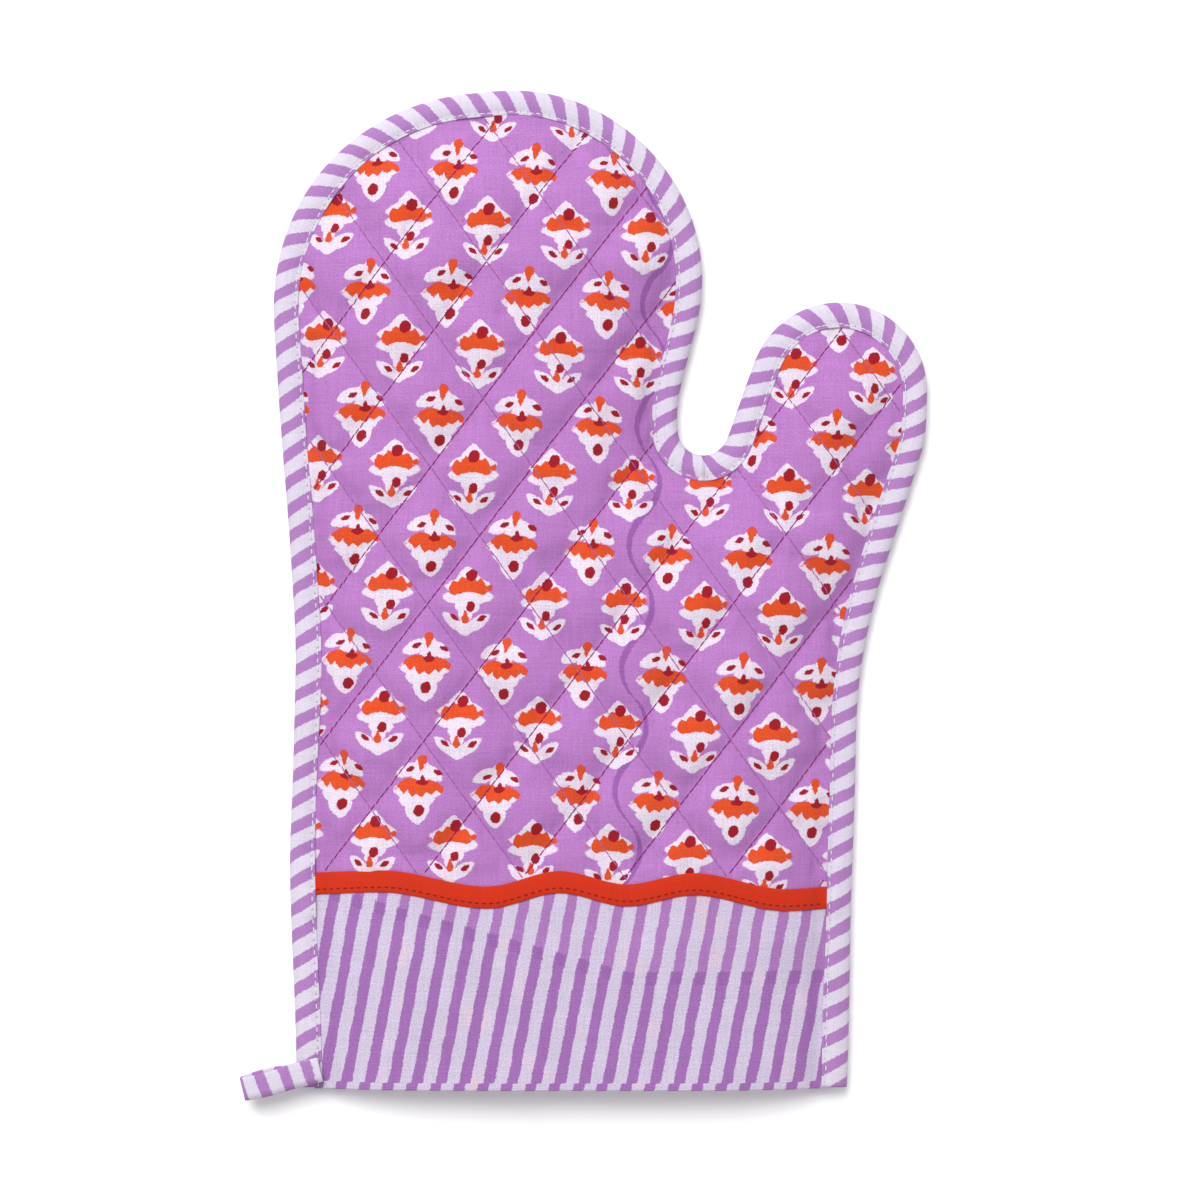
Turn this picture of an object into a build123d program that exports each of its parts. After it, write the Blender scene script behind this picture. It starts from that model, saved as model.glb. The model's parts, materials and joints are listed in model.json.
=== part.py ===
from build123d import *
import math
import os

# Quilted oven mitt, laid flat on its back panel. Millimetres.
# X runs from the little-finger side to the thumb, Y from the hem to the fingertips, Z up.
# The shape is drawn with Y = 0 at the hem and Z = 0 at the underside of the binding, and every
# piece is moved at the end so that the origin is the middle of the whole mitt's underside.

# ---- outline of the mitt, laid flat ----
mitt_length = 330.2         # hem to fingertips
cuff_width = 180.0          # across the hem
cuff_swell = 3.6            # how far the little-finger side stands out above the cuff
cuff_swell_height = 76.0
cuff_swell_radius = 300.0
waist_swell = 1.6           # and at the waist of the hand
waist_height = 142.0
waist_radius = 201.0
finger_swell = 9.2          # and beside the fingers
tip_radius_outer = 71.0     # fingertip arc on the little-finger side
tip_radius_inner = 63.0     # fingertip arc on the thumb side
tip_drop = 0.7              # the outer arc tops out this much below the inner one
crotch_from_middle = 43.4   # the notch between fingers and thumb
crotch_height = 208.9
crotch_radius = 8.6
finger_side_radius = 40.0   # hollow side of the fingers just above the notch
finger_side_rise = 4.5
finger_overhang = 0.4       # the fingertip arc reaches this much less far than the notch
thumb_tip_fullness = 2.6    # the thumb's tip arc is this much larger than its side arc
thumb_tip_offset = 44.8     # thumb tip's centre, sideways from the notch
thumb_tip_rise = 21.5       # and above it
thumb_side_offset = 47.0
thumb_side_rise = 10.2
heel_radius = 210.2         # long hollow from the thumb down to the cuff
heel_swell = 3.9
heel_height = 109.7
run_out = 40.0              # the outline is drawn this far below the hem, then cut off at the hem

# ---- thicknesses, from the underside up ----
tape_t = 0.6                # one wall of the bias binding
print_t = 0.5               # printed cotton
wadding_t = 2.6
lining_t = 0.4
pinched_wadding_t = 1.2     # the palm-side wadding where the binding pinches it
seam_play = 0.05            # between the folded edge of the binding and what it holds
pocket_height = 10.0        # room for the hand, laid flat
palm_slope = 0.714          # how steeply the palm side rises from the seam to its level top
foot_gap = 1.43             # between the binding and the printed cotton where it rises past it
thumb_level = 1.0           # half the width of the level top along the thumb

# ---- sewn-on pieces ----
binding_width = 8.4
cuff_height = 62.2          # striped band at the wrist
trim_width = 7.4            # bias trim over the top edge of the band
trim_t = 0.6
band_t = 0.45
side_gap = 0.3              # band and trim stop this far inside the binding
facing_depth = 15.0         # hem facing turned into the mouth
facing_t = 0.45
thread_w = 0.7
thread_t = 0.35
stitch_inset = 7.4          # binding topstitch, from the outline
quilt_pitch_rising = 26.6   # between parallel rows of quilting, in each direction
quilt_pitch_falling = 27.3
quilt_angle_rising = 52.5   # the two directions of the diamond quilting, from X
quilt_angle_falling = -54.1
quilt_height_rising = 91.1  # where a row of each direction crosses the middle of the mitt
quilt_height_falling = 94.0
trim_stitch_inset = 1.7     # from the trim's lower edge

# ---- where the mitt bends ----
finger_crease_rise = 3.1    # above the notch
thumb_crease_angle = -48.3  # direction of the thumb's crease, from X
body_gap = 0.8              # left open at a crease between two bodies

# ---- hanging loop ----
loop_width = 8.2
loop_t = 1.1                # folded tape, one strand
loop_length = 18.0          # from the stitched end to the outer fold
loop_eye = 5.2              # clear height inside the loop
loop_straight = 7.0         # level part of the eye
loop_droop = 1.6            # the eye's middle lies this much lower than the stitched end
loop_tail_length = 9.0
loop_seam_out = 2.0         # the loop starts this far outside the hem's corner
loop_height_on_side = 3.9   # above the hem
loop_angle = 194.0          # direction it points, from X
loop_clearance = 0.3

FAR = 500.0                 # larger than the mitt, for cutting blocks

# ---- levels worked out from the thicknesses ----
back_print_z = tape_t
back_wadding_z = back_print_z + print_t
back_lining_z = back_wadding_z + wadding_t
seam_z = back_lining_z + lining_t                 # where the two linings meet
front_wadding_z = seam_z + lining_t
front_print_z = front_wadding_z + pinched_wadding_t
rim_top_z = front_print_z + print_t
binding_top_z = rim_top_z + seam_play + tape_t
rise = math.hypot(1, palm_slope)                  # upright measure of a layer 1 mm thick on the slope
lining_lift = lining_t * rise
wadding_lift = lining_lift + wadding_t * rise
print_lift = wadding_lift + print_t * rise
band_lift = print_lift + band_t * rise
trim_lift = print_lift + trim_t * rise
thread_lift = print_lift + thread_t * rise
trim_thread_lift = trim_lift + thread_t * rise
crease_axis_z = seam_z + pocket_height + trim_thread_lift + 0.2

# ---- places worked out from the sizes ----
crotch_y = crotch_height + crotch_radius
finger_crease_height = crotch_height + finger_crease_rise
pocket_foot = binding_width + foot_gap + (print_lift - (binding_top_z - seam_z)) / palm_slope
shoulder = pocket_height / palm_slope             # from the pocket's foot in to its level top
thumb_side_radius = pocket_foot + shoulder + thumb_level
thumb_tip_radius = thumb_side_radius + thumb_tip_fullness


def belt(circles, plane=Plane.XY):
    """Face bounded by a belt run clockwise round circles (x, y, r): r < 0 is a hollow, r = 0 a corner."""
    normals = []
    for index, (x, y, r) in enumerate(circles):
        next_x, next_y, next_r = circles[(index + 1) % len(circles)]
        length = math.hypot(next_x - x, next_y - y)
        along = Vector(next_x - x, next_y - y) * (1 / length)
        lean = (r - next_r) / length
        normals.append(along * lean + Vector(-along.Y, along.X) * math.sqrt(1 - lean * lean))
    edges = []
    for index, (x, y, r) in enumerate(circles):
        centre = Vector(x, y)
        start = centre + normals[index - 1] * r
        end = centre + normals[index] * r
        if r != 0:
            first = math.atan2(normals[index - 1].Y, normals[index - 1].X)
            turn = math.atan2(normals[index].Y, normals[index].X) - first
            turn = -(-turn % (2 * math.pi)) if r > 0 else turn % (2 * math.pi)
            middle = centre + Vector(math.cos(first + turn / 2), math.sin(first + turn / 2)) * r
            edges.append(ThreePointArc(start, middle, end))
        next_x, next_y, next_r = circles[(index + 1) % len(circles)]
        edges.append(Line(end, Vector(next_x, next_y) + normals[index] * next_r))
    return plane.location * Face(Wire(edges))


def outline(inset, z):
    """Face at height z of the mitt's outline moved in by inset."""
    side = cuff_width / 2
    finger_right = crotch_from_middle - finger_overhang
    circles = [
        (-side, -run_out, 0),
        (cuff_swell_radius - side - cuff_swell, cuff_swell_height, cuff_swell_radius),
        (-side - waist_swell - waist_radius, waist_height, -waist_radius),
        (-side - finger_swell + tip_radius_outer, mitt_length - tip_drop - tip_radius_outer,
         tip_radius_outer),
        (finger_right - tip_radius_inner, mitt_length - tip_radius_inner, tip_radius_inner),
        (crotch_from_middle - crotch_radius + finger_side_radius, crotch_y + finger_side_rise,
         -finger_side_radius),
        (crotch_from_middle, crotch_y, -crotch_radius),
        (crotch_from_middle + thumb_tip_offset, crotch_height + thumb_tip_rise, thumb_tip_radius),
        (crotch_from_middle + thumb_side_offset, crotch_height + thumb_side_rise, thumb_side_radius),
        (side + heel_swell + heel_radius, heel_height, -heel_radius),
        (side, -run_out, 0),
    ]
    moved = []
    for index, (x, y, r) in enumerate(circles):
        if index == 0:
            moved.append((x + inset, y, 0))
        elif index == len(circles) - 1:
            moved.append((x - inset, y, 0))
        else:
            moved.append((x, y, r - inset))
    return belt(moved, Plane.XY.offset(z))


def slab(inset, low, high):
    """The outline moved in by inset, between two heights."""
    return extrude(outline(inset, low), amount=high - low, dir=(0, 0, 1))


def hill(lift):
    """The swell of the palm side over the hand, raised by lift and rising from the seam."""
    foot = outline(pocket_foot - lift / palm_slope, seam_z)
    top = outline(pocket_foot + shoulder, seam_z + pocket_height + lift)
    return loft([foot, top], ruled=True)


def block(x_low, x_high, y_low, y_high, z_low=-FAR, z_high=FAR):
    """Box between the given limits."""
    size = (x_high - x_low, y_high - y_low, z_high - z_low)
    middle = ((x_high + x_low) / 2, (y_high + y_low) / 2, (z_high + z_low) / 2)
    return Pos(*middle) * Box(*size)


def region(name, gap):
    """Block that holds the fingers or the thumb, pulled back from its crease by gap."""
    if name == "fingers":
        return block(-FAR, crotch_from_middle, finger_crease_height + gap, FAR)
    along = Vector(1, 0).rotate(Axis.Z, thumb_crease_angle)
    away = Vector(-along.Y, along.X)
    start = Vector(crotch_from_middle, crotch_height) + away * gap
    # the crease line meets the upright through the notch a little higher when it is pulled back
    start = start + along * ((crotch_from_middle - start.X) / along.X)
    corners = [start, start + along * FAR, start + along * FAR + away * FAR,
               Vector(crotch_from_middle, FAR)]
    face = Face(Wire.make_polygon(corners))
    return Pos(0, 0, -FAR) * extrude(face, amount=2 * FAR, dir=(0, 0, 1))


def split(solid):
    """The palm, fingers and thumb parts of a layer, a body_gap apart, cut off at the hem."""
    solid = solid & block(-FAR, FAR, 0, FAR)
    half = body_gap / 2
    palm = solid - region("fingers", -half) - region("thumb", -half)
    return {"palm": palm, "fingers": solid & region("fingers", half),
            "thumb": solid & region("thumb", half)}


def stitch_rows(angle, height, pitch):
    """Thin upright walls along parallel rows of quilting, as wide as the thread."""
    spacing = pitch / math.cos(math.radians(angle))
    reach = (mitt_length + cuff_width) / pitch
    walls = []
    for row in range(-int(reach / 2), int(reach)):
        place = Pos(0, height + row * spacing, 0) * Rot(0, 0, angle)
        walls.append(place * Box(2 * FAR, thread_w, 4 * pocket_height))
    return walls


pieces = {}


def keep(name, solid):
    """Store a named piece."""
    pieces[name] = solid


def keep_tape(name, tape):
    """Store a ring of tape or thread by where it lies: fingers, thumb, and three runs of the palm."""
    parts = split(tape)
    keep(f"{name}_fingers", parts["fingers"])
    keep(f"{name}_thumb", parts["thumb"])
    palm_runs = sorted(parts["palm"].solids(), key=lambda run: run.center().X)
    for run_name, run in zip(("side", "notch", "heel"), palm_runs):
        keep(f"{name}_{run_name}", run)


# ---- the quilted layers of the back and the palm side ----
layers = {
    "back_print": slab(tape_t + seam_play, back_print_z, back_wadding_z),
    "back_wadding": slab(tape_t + seam_play, back_wadding_z, back_lining_z),
    "back_lining": slab(tape_t + seam_play, back_lining_z, seam_z),
    "front_lining": (slab(tape_t + seam_play, seam_z, front_wadding_z) + hill(lining_lift)) - hill(0),
    "front_wadding": (slab(tape_t + seam_play, front_wadding_z, front_print_z) + hill(wadding_lift))
    - hill(lining_lift) - slab(0, 0, front_wadding_z),
    "front_print": (slab(tape_t + seam_play, front_print_z, rim_top_z) + hill(print_lift))
    - hill(wadding_lift) - slab(0, 0, front_print_z),
}
for layer_name, layer in layers.items():
    for part_name, solid in split(layer).items():
        keep(f"{layer_name}_{part_name}", solid)

# ---- the bias binding, a folded tape over the raw edges, open at the hem ----
held_edge = slab(tape_t, tape_t, binding_top_z - tape_t)
binding = slab(0, 0, binding_top_z) - slab(binding_width, -1, binding_top_z + 1) - held_edge
keep_tape("binding", binding)

# ---- cuff bands, trims and hem facings ----
side_inset = binding_width + side_gap
over_the_seam = slab(side_inset, rim_top_z, FAR)
band_rows = block(-FAR, FAR, 0, cuff_height)
trim_rows = block(-FAR, FAR, cuff_height, cuff_height + trim_width)
keep("front_cuff_band", (hill(band_lift) - hill(print_lift)) & over_the_seam & band_rows)
keep("front_trim", (hill(trim_lift) - hill(print_lift)) & over_the_seam & trim_rows)
keep("back_cuff_band", slab(side_inset, back_print_z - band_t, back_print_z) & band_rows)
keep("back_trim", slab(side_inset, 0, back_print_z) & trim_rows)
facing_rows = block(-FAR, FAR, 0, facing_depth)
keep("front_hem_facing", (hill(0) - hill(-facing_t)) & slab(0, seam_z + facing_t, FAR) & facing_rows)
back_facing_inset = pocket_foot + facing_t / palm_slope + side_gap
keep("back_hem_facing", slab(back_facing_inset, seam_z, seam_z + facing_t) & facing_rows)

# ---- stitching ----
above_trim = block(-FAR, FAR, cuff_height + trim_width, FAR)
rows = Compound(stitch_rows(quilt_angle_rising, quilt_height_rising, quilt_pitch_rising)
                + stitch_rows(quilt_angle_falling, quilt_height_falling, quilt_pitch_falling))
front_skin = (hill(thread_lift) - hill(print_lift)) & over_the_seam & above_trim
back_skin = slab(side_inset, back_print_z - thread_t, back_print_z) & above_trim
for side_name, skin in (("front", front_skin), ("back", back_skin)):
    for part_name, solid in split(skin).items():
        keep(f"{side_name}_quilting_{part_name}", solid & rows)
topstitch = slab(stitch_inset - thread_w / 2, binding_top_z, binding_top_z + thread_t)
topstitch = topstitch - slab(stitch_inset + thread_w / 2, 0, FAR)
keep_tape("binding_topstitch", topstitch)
trim_thread = (hill(trim_thread_lift) - hill(trim_lift)) & over_the_seam
trim_stitch_height = cuff_height + trim_stitch_inset
thread_rows = block(-FAR, FAR, trim_stitch_height - thread_w / 2, trim_stitch_height + thread_w / 2)
keep("trim_stitch", trim_thread & thread_rows)

# ---- hanging loop, a folded tape sewn over the corner of the binding ----
loop_corner_x = -cuff_width / 2 - loop_seam_out
loop_place = Pos(loop_corner_x, loop_height_on_side, 0) * Rot(0, 0, loop_angle)
sewn_low = binding_top_z + thread_t + seam_play
sewn_high = sewn_low + 2 * loop_t
eye_r = loop_eye / 2
eye_z = (sewn_low + sewn_high) / 2 - loop_droop
outer_r = eye_r + loop_t
eye_far = loop_length - outer_r
eye_near = eye_far - loop_straight
sewn_z = (sewn_low + sewn_high) / 2


def loop_profile(inner_end, end_r, r):
    """Circles of a loop seen from the side: its sewn end, then over, round and back under the eye."""
    return [(inner_end, sewn_z, end_r), (eye_near, eye_z, r), (eye_far, eye_z, r), (eye_near, eye_z, r)]


strand_circles = loop_profile(loop_clearance + loop_t, loop_t, outer_r)
eye_circles = loop_profile(loop_clearance + 4 * loop_t, loop_t / 4, eye_r)
side_plane = Plane(origin=(0, loop_width / 2, 0), x_dir=(1, 0, 0), z_dir=(0, -1, 0))
strand = extrude(belt(strand_circles, side_plane), amount=loop_width, dir=(0, -1, 0))
eye = extrude(belt(eye_circles, side_plane.offset(-1)), amount=loop_width + 2, dir=(0, -1, 0))
keep("hanging_loop", loop_place * (strand - eye))
tail = block(-loop_tail_length, 0, -loop_width / 2, loop_width / 2, sewn_low, sewn_high)
keep("loop_tail", loop_place * tail)
tacks = []
for tack in range(2):
    x = -loop_tail_length * (1 + 2 * tack) / 4
    reach = loop_width / 2 - 1
    tacks.append(block(x - thread_w / 2, x + thread_w / 2, -reach, reach, sewn_high, sewn_high + thread_t))
keep("loop_tack_stitches", loop_place * (tacks[0] + tacks[1]))

# ---- move everything so that the origin is the middle of the underside, then write it ----
whole = Compound(list(pieces.values())).bounding_box()
to_origin = Pos(-whole.center().X, -whole.center().Y, -whole.min.Z)
os.makedirs("parts", exist_ok=True)
for name, solid in pieces.items():
    export_step(to_origin * solid, f"parts/{name}.step")

print("size", [round(side, 2) for side in whole.size])
for name, x, y, z in [
    ("finger crease", crotch_from_middle, finger_crease_height, crease_axis_z),
    ("thumb crease", crotch_from_middle, crotch_height, crease_axis_z),
    ("loop seam", loop_corner_x, loop_height_on_side, sewn_high + thread_t + 0.2),
    ("hem middle", 0, 0, 0),
]:
    print(name, [round(value, 3) for value in (x - whole.center().X, y - whole.center().Y, z - whole.min.Z)])
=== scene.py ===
# %% [markdown]
# A quilted oven mitt lies flat on a pale table. The real one is two quilted panels, each a printed
# cotton, a layer of wadding and a lining, with one striped tape folded over their raw edges. The packed
# model already fixes every size and every bend, so this script only dresses it: each soft piece is made
# again in finer mesh, in the same place, and the cuff's pieces and the loop's tacks are told which rigid
# body they follow.

# %% Load the imported model
import json
import math

import bpy
import numpy as np
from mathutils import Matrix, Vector
from mathutils.bvhtree import BVHTree

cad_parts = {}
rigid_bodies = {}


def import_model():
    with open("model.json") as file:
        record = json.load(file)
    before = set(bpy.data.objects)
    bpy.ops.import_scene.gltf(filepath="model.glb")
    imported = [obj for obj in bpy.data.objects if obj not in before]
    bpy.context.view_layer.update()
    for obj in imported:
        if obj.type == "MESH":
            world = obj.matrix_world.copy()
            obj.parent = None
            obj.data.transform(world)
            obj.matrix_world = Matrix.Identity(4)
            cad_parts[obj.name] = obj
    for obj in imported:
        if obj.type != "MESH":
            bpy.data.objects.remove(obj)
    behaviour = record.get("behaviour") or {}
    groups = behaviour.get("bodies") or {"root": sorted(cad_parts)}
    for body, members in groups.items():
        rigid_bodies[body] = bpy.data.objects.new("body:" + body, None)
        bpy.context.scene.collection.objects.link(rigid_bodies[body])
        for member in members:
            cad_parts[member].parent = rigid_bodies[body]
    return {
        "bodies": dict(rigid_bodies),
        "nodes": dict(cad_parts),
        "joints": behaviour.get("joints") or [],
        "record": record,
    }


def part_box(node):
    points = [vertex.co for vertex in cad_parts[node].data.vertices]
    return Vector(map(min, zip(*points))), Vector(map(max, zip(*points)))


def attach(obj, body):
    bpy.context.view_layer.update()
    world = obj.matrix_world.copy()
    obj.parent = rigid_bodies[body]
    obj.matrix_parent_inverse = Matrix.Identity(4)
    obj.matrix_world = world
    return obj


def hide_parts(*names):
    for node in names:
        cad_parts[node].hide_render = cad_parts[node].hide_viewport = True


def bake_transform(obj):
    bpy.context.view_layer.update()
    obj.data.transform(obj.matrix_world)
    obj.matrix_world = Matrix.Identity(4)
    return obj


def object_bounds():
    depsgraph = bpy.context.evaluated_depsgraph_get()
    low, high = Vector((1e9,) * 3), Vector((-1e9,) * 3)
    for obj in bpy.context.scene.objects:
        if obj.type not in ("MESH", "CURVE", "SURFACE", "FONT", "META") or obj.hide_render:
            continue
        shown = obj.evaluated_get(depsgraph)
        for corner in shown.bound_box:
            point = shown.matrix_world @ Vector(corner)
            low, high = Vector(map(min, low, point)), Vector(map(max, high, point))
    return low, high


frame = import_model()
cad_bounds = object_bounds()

mm = 0.001
rng = np.random.default_rng(7)
nodes = frame["nodes"]
joints = {joint["name"]: joint for joint in frame["joints"]}
mounts = {mount["name"]: mount for mount in frame["record"]["mounts"]}
wrist_x, hem_y, _ = mounts["wrist_opening"]["pos_m"]
print("packed size in mm", [round(side / mm, 1) for side in cad_bounds[1] - cad_bounds[0]])

# %% [markdown]
# The outline of the mitt is the outer wall of the striped binding. It could be typed in again as arcs,
# but then a change of size would have to be made twice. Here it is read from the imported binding: the
# wall's faces run between two heights only, so their lower edges are the outline, which is then
# measured off in even steps of a millimetre.

# %% Read the mitt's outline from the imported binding
binding_nodes = [name for name in nodes if name.startswith("binding_") and "topstitch" not in name]


def outer_wall(name):
    """The points along the foot of one binding node's outer wall, in order."""
    mesh = nodes[name].data
    keys = [(round(v.co.x / mm, 3), round(v.co.y / mm, 3), round(v.co.z / mm, 2)) for v in mesh.vertices]
    heights = {}
    for x, y, z in keys:
        heights.setdefault((x, y), set()).add(z)
    lowest = min(z for _, _, z in keys)
    neighbours = {}
    for polygon in mesh.polygons:
        corners = [keys[index] for index in polygon.vertices]
        if any(len(heights[x, y]) > 2 or lowest not in heights[x, y] for x, y, _ in corners):
            continue
        foot = sorted({(x, y) for x, y, z in corners if z == lowest})
        if len(foot) == 2:
            neighbours.setdefault(foot[0], set()).add(foot[1])
            neighbours.setdefault(foot[1], set()).add(foot[0])
    run = [next(point for point, near in neighbours.items() if len(near) == 1)]
    while True:
        onward = neighbours[run[-1]] - set(run[-2:])
        if not onward:
            return run
        run.append(onward.pop())


def apart(a, b):
    """Distance between two points of the outline."""
    return math.hypot(a[0] - b[0], a[1] - b[1])


runs = [outer_wall(name) for name in binding_nodes]
corner = min((end for run in runs for end in (run[0], run[-1])), key=lambda end: end[0] + 2 * end[1])
outline = []
while runs:
    run = min(runs, key=lambda r: min(apart(corner, r[0]), apart(corner, r[-1])))
    runs.remove(run)
    if apart(corner, run[-1]) < apart(corner, run[0]):
        run.reverse()
    outline += run
    corner = outline[-1]
outline = np.array(outline) * mm
print("outline points", len(outline), "from", outline[0], "to", outline[-1])

# %% [markdown]
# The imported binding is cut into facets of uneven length, with small corners between them. Measured off
# again in millimetre steps and smoothed over a few of them, the outline gives a direction and an inward
# side at every step, which is all that a swept tape or a row of stitches needs.

# %% Measure the outline off in even steps
RIM_STEP = 1.0 * mm
PAST_HEM = 60                       # steps that the outline runs on past the hem, for measuring only
ROUNDING = 2.0                      # steps over which the corners between facets are rounded


def evenly(points, step):
    """The same line with points an even step apart."""
    lengths = np.r_[0, np.cumsum(np.linalg.norm(np.diff(points, axis=0), axis=1))]
    marks = np.linspace(0, lengths[-1], int(round(lengths[-1] / step)) + 1)
    return np.stack([np.interp(marks, lengths, axis) for axis in points.T], axis=1)


def rounded(points, width):
    """A line smoothed over a few of its points, with its ends kept."""
    reach = int(4 * width)
    weights = np.exp(-0.5 * (np.arange(-reach, reach + 1) / width) ** 2)
    before = 2 * points[0] - points[reach:0:-1]
    after = 2 * points[-1] - points[-2:-reach - 2:-1]
    padded = np.concatenate([before, points, after])
    return np.stack([np.convolve(axis, weights / weights.sum(), "valid") for axis in padded.T], axis=1)


edge_line = rounded(evenly(outline, RIM_STEP), ROUNDING)
edge_along = np.gradient(edge_line, axis=0)
edge_along /= np.linalg.norm(edge_along, axis=1)[:, None]
edge_inward = np.stack([edge_along[:, 1], -edge_along[:, 0]], axis=1)
steps_out = np.arange(PAST_HEM, 0, -1)[:, None] * RIM_STEP
rim = np.concatenate([edge_line[0] - steps_out * edge_along[0], edge_line,
                      edge_line[-1] + steps_out[::-1] * edge_along[-1]])
rim_inward = np.concatenate([np.repeat(edge_inward[:1], PAST_HEM, 0), edge_inward,
                             np.repeat(edge_inward[-1:], PAST_HEM, 0)])
print("edge length in mm", round(len(edge_line) * RIM_STEP / mm))


def depth_inside(points):
    """How far inside the mitt's edge each point (x, y) lies. Outside, it is negative."""
    depth = np.empty(len(points))
    for part in np.array_split(np.arange(len(points)), len(points) // 2000 + 1):
        away = points[part, None] - rim[None]
        nearest = np.argmin((away ** 2).sum(axis=2), axis=1)
        depth[part] = (away[np.arange(len(part)), nearest] * rim_inward[nearest]).sum(axis=1)
    return depth


# %% [markdown]
# Quilting is sewn in two sets of slanting rows, which cross in diamonds. A square grid of mesh would
# give every slanting groove a stepped edge. So the panels' mesh is laid along the rows themselves: its
# own lines run both ways with the stitching, every eleventh one is a row, and each groove follows a
# line of points exactly.

# %% Lay a grid of cloth along the quilting rows
RISING = math.radians(52.5)
FALLING = math.radians(54.1)
RISING_PITCH = 43.65 * mm           # from row to row, measured up the middle of the mitt
FALLING_PITCH = 46.6 * mm
RISING_START = hem_y + 91.1 * mm    # where a row crosses the middle
FALLING_START = hem_y + 94.0 * mm
notch_x, notch_y, _ = joints["thumb_bend"]["pos_m"]


def smooth_step(value, low, high):
    """0 below low, 1 above high, and a soft rise between."""
    t = np.clip((value - low) / (high - low), 0, 1)
    return t * t * (3 - 2 * t)


def lay_panel(inset, cells):
    """Points and faces of a panel as large as the outline less inset, with cells to a quilting pitch."""
    slopes = math.tan(RISING) + math.tan(FALLING)
    low, high = edge_line.min(axis=0), edge_line.max(axis=0)
    reach = int(cells * (high[0] - low[0] + high[1] - low[1]) * 1.5 / RISING_PITCH)
    i, j = np.meshgrid(np.arange(-reach, reach), np.arange(-reach, reach), indexing="ij")
    rising = RISING_START + RISING_PITCH * i / cells
    falling = FALLING_START + FALLING_PITCH * j / cells
    x = (falling - rising) / slopes
    y = rising + math.tan(RISING) * x
    flat = np.stack([x + wrist_x, y], axis=2)
    wide = 12 * mm
    near = np.all((flat > low - wide) & (flat < high + wide), axis=2)
    depth = np.full(x.shape, -1.0)
    depth[near] = depth_inside(flat[near])
    number = np.arange(x.size).reshape(x.shape)
    faces = np.stack([number[:-1, :-1], number[:-1, 1:], number[1:, 1:], number[1:, :-1]], axis=2)
    faces = faces.reshape(-1, 4)
    xy, depth, i, j = flat.reshape(-1, 2), depth.ravel(), i.ravel(), j.ravel()
    middle = xy[faces].mean(axis=1)
    inside = (depth[faces].mean(axis=1) > inset) & (middle[:, 1] > hem_y)
    inside &= depth[faces].min(axis=1) > inset - 6 * mm
    faces = faces[inside]
    used, faces = np.unique(faces, return_inverse=True)
    faces = faces.reshape(-1, 4)
    xy, depth, i, j = xy[used], depth[used], i[used], j[used]
    sides = np.sort(np.concatenate([faces[:, [k, (k + 1) % 4]] for k in range(4)]), axis=1)
    sides, uses = np.unique(sides, axis=0, return_counts=True)
    border = np.unique(sides[uses == 1])
    for _ in range(3):
        inward = rim_inward[np.argmin(((xy[border, None] - rim[None]) ** 2).sum(axis=2), axis=1)]
        short = inset - depth_inside(xy[border])
        below = hem_y - xy[border, 1]
        to_side = np.abs(short) < np.abs(below)
        xy[border[to_side]] += inward[to_side] * short[to_side, None]
        xy[border[~to_side], 1] += below[~to_side]
        corner = (short > 0) & (below > 0)
        xy[border[corner], 1] = hem_y
    depth = depth_inside(xy)
    split = math.floor((notch_y + math.tan(FALLING) * (notch_x - wrist_x) - FALLING_START)
                       / FALLING_PITCH * cells)
    past_row = j[faces].min(axis=1) >= split
    thumb = past_row & (xy[faces][:, :, 0].mean(axis=1) > notch_x - 3.4 * mm)
    return {"xy": xy, "faces": faces, "depth": depth, "on_row": (i % cells == 0) | (j % cells == 0),
            "row_part": (i % cells / cells, j % cells / cells), "thumb": thumb, "border": border}


fine = lay_panel(4 * mm, 11)
print("fine panel", len(fine["xy"]), "points,", len(fine["faces"]), "faces, thumb", int(fine["thumb"].sum()))

# %% [markdown]
# The palm side stands over the room for a hand: flat at the binding, then a soft shoulder up to an
# almost level top. Between rows of stitching the wadding swells, and at the rows it is pulled down.
# One function gives the smooth shoulder, and another gives how far up between its rows a point is.

# %% The swell of the palm side
BINDING_WIDTH = 8.4 * mm
TAPE = 0.6 * mm                     # one wall of the binding
PRINT_THICK = 0.5 * mm
LEVEL_DEPTH = 50 * mm               # how far inside the edge the palm side is level
GROOVE = 2.1 * mm                   # how far the quilting pulls the cloth down
HEM_SAG = 0.28                      # the mouth lies lower than the palm by this share
UNDER_BAND = 0.7 * mm               # the layers lie this much lower under the cuff band
CHART_STEP = 2 * mm
rim_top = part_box("binding_side")[1].z - TAPE - 0.25 * mm
palm_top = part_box("front_print_palm")[1].z
cuff_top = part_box("front_trim")[1].y


def chart_of_height():
    """A chart, in steps of 2 mm, of how far the palm side is raised: 0 at the binding, 1 at the top."""
    low = edge_line.min(axis=0) - 20 * mm
    count = ((np.ptp(edge_line, axis=0) + 40 * mm) / CHART_STEP).astype(int) + 2
    x, y = np.meshgrid(*(low[axis] + np.arange(count[axis]) * CHART_STEP for axis in (0, 1)), indexing="ij")
    depth = depth_inside(np.stack([x.ravel(), y.ravel()], axis=1)).reshape(x.shape)
    t = np.clip((depth - BINDING_WIDTH) / (LEVEL_DEPTH - BINDING_WIDTH), 0, 1)
    raised = 1 - (1 - t) ** 1.9
    weights = np.exp(-0.5 * (np.arange(-9, 10) / 3.2) ** 2)
    for axis in (0, 1):
        raised = np.apply_along_axis(np.convolve, axis, raised, weights / weights.sum(), "same")
    raised *= smooth_step(depth, BINDING_WIDTH + 0.2 * mm, BINDING_WIDTH + 7 * mm)
    return low, raised


chart_low, chart = chart_of_height()


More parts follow.
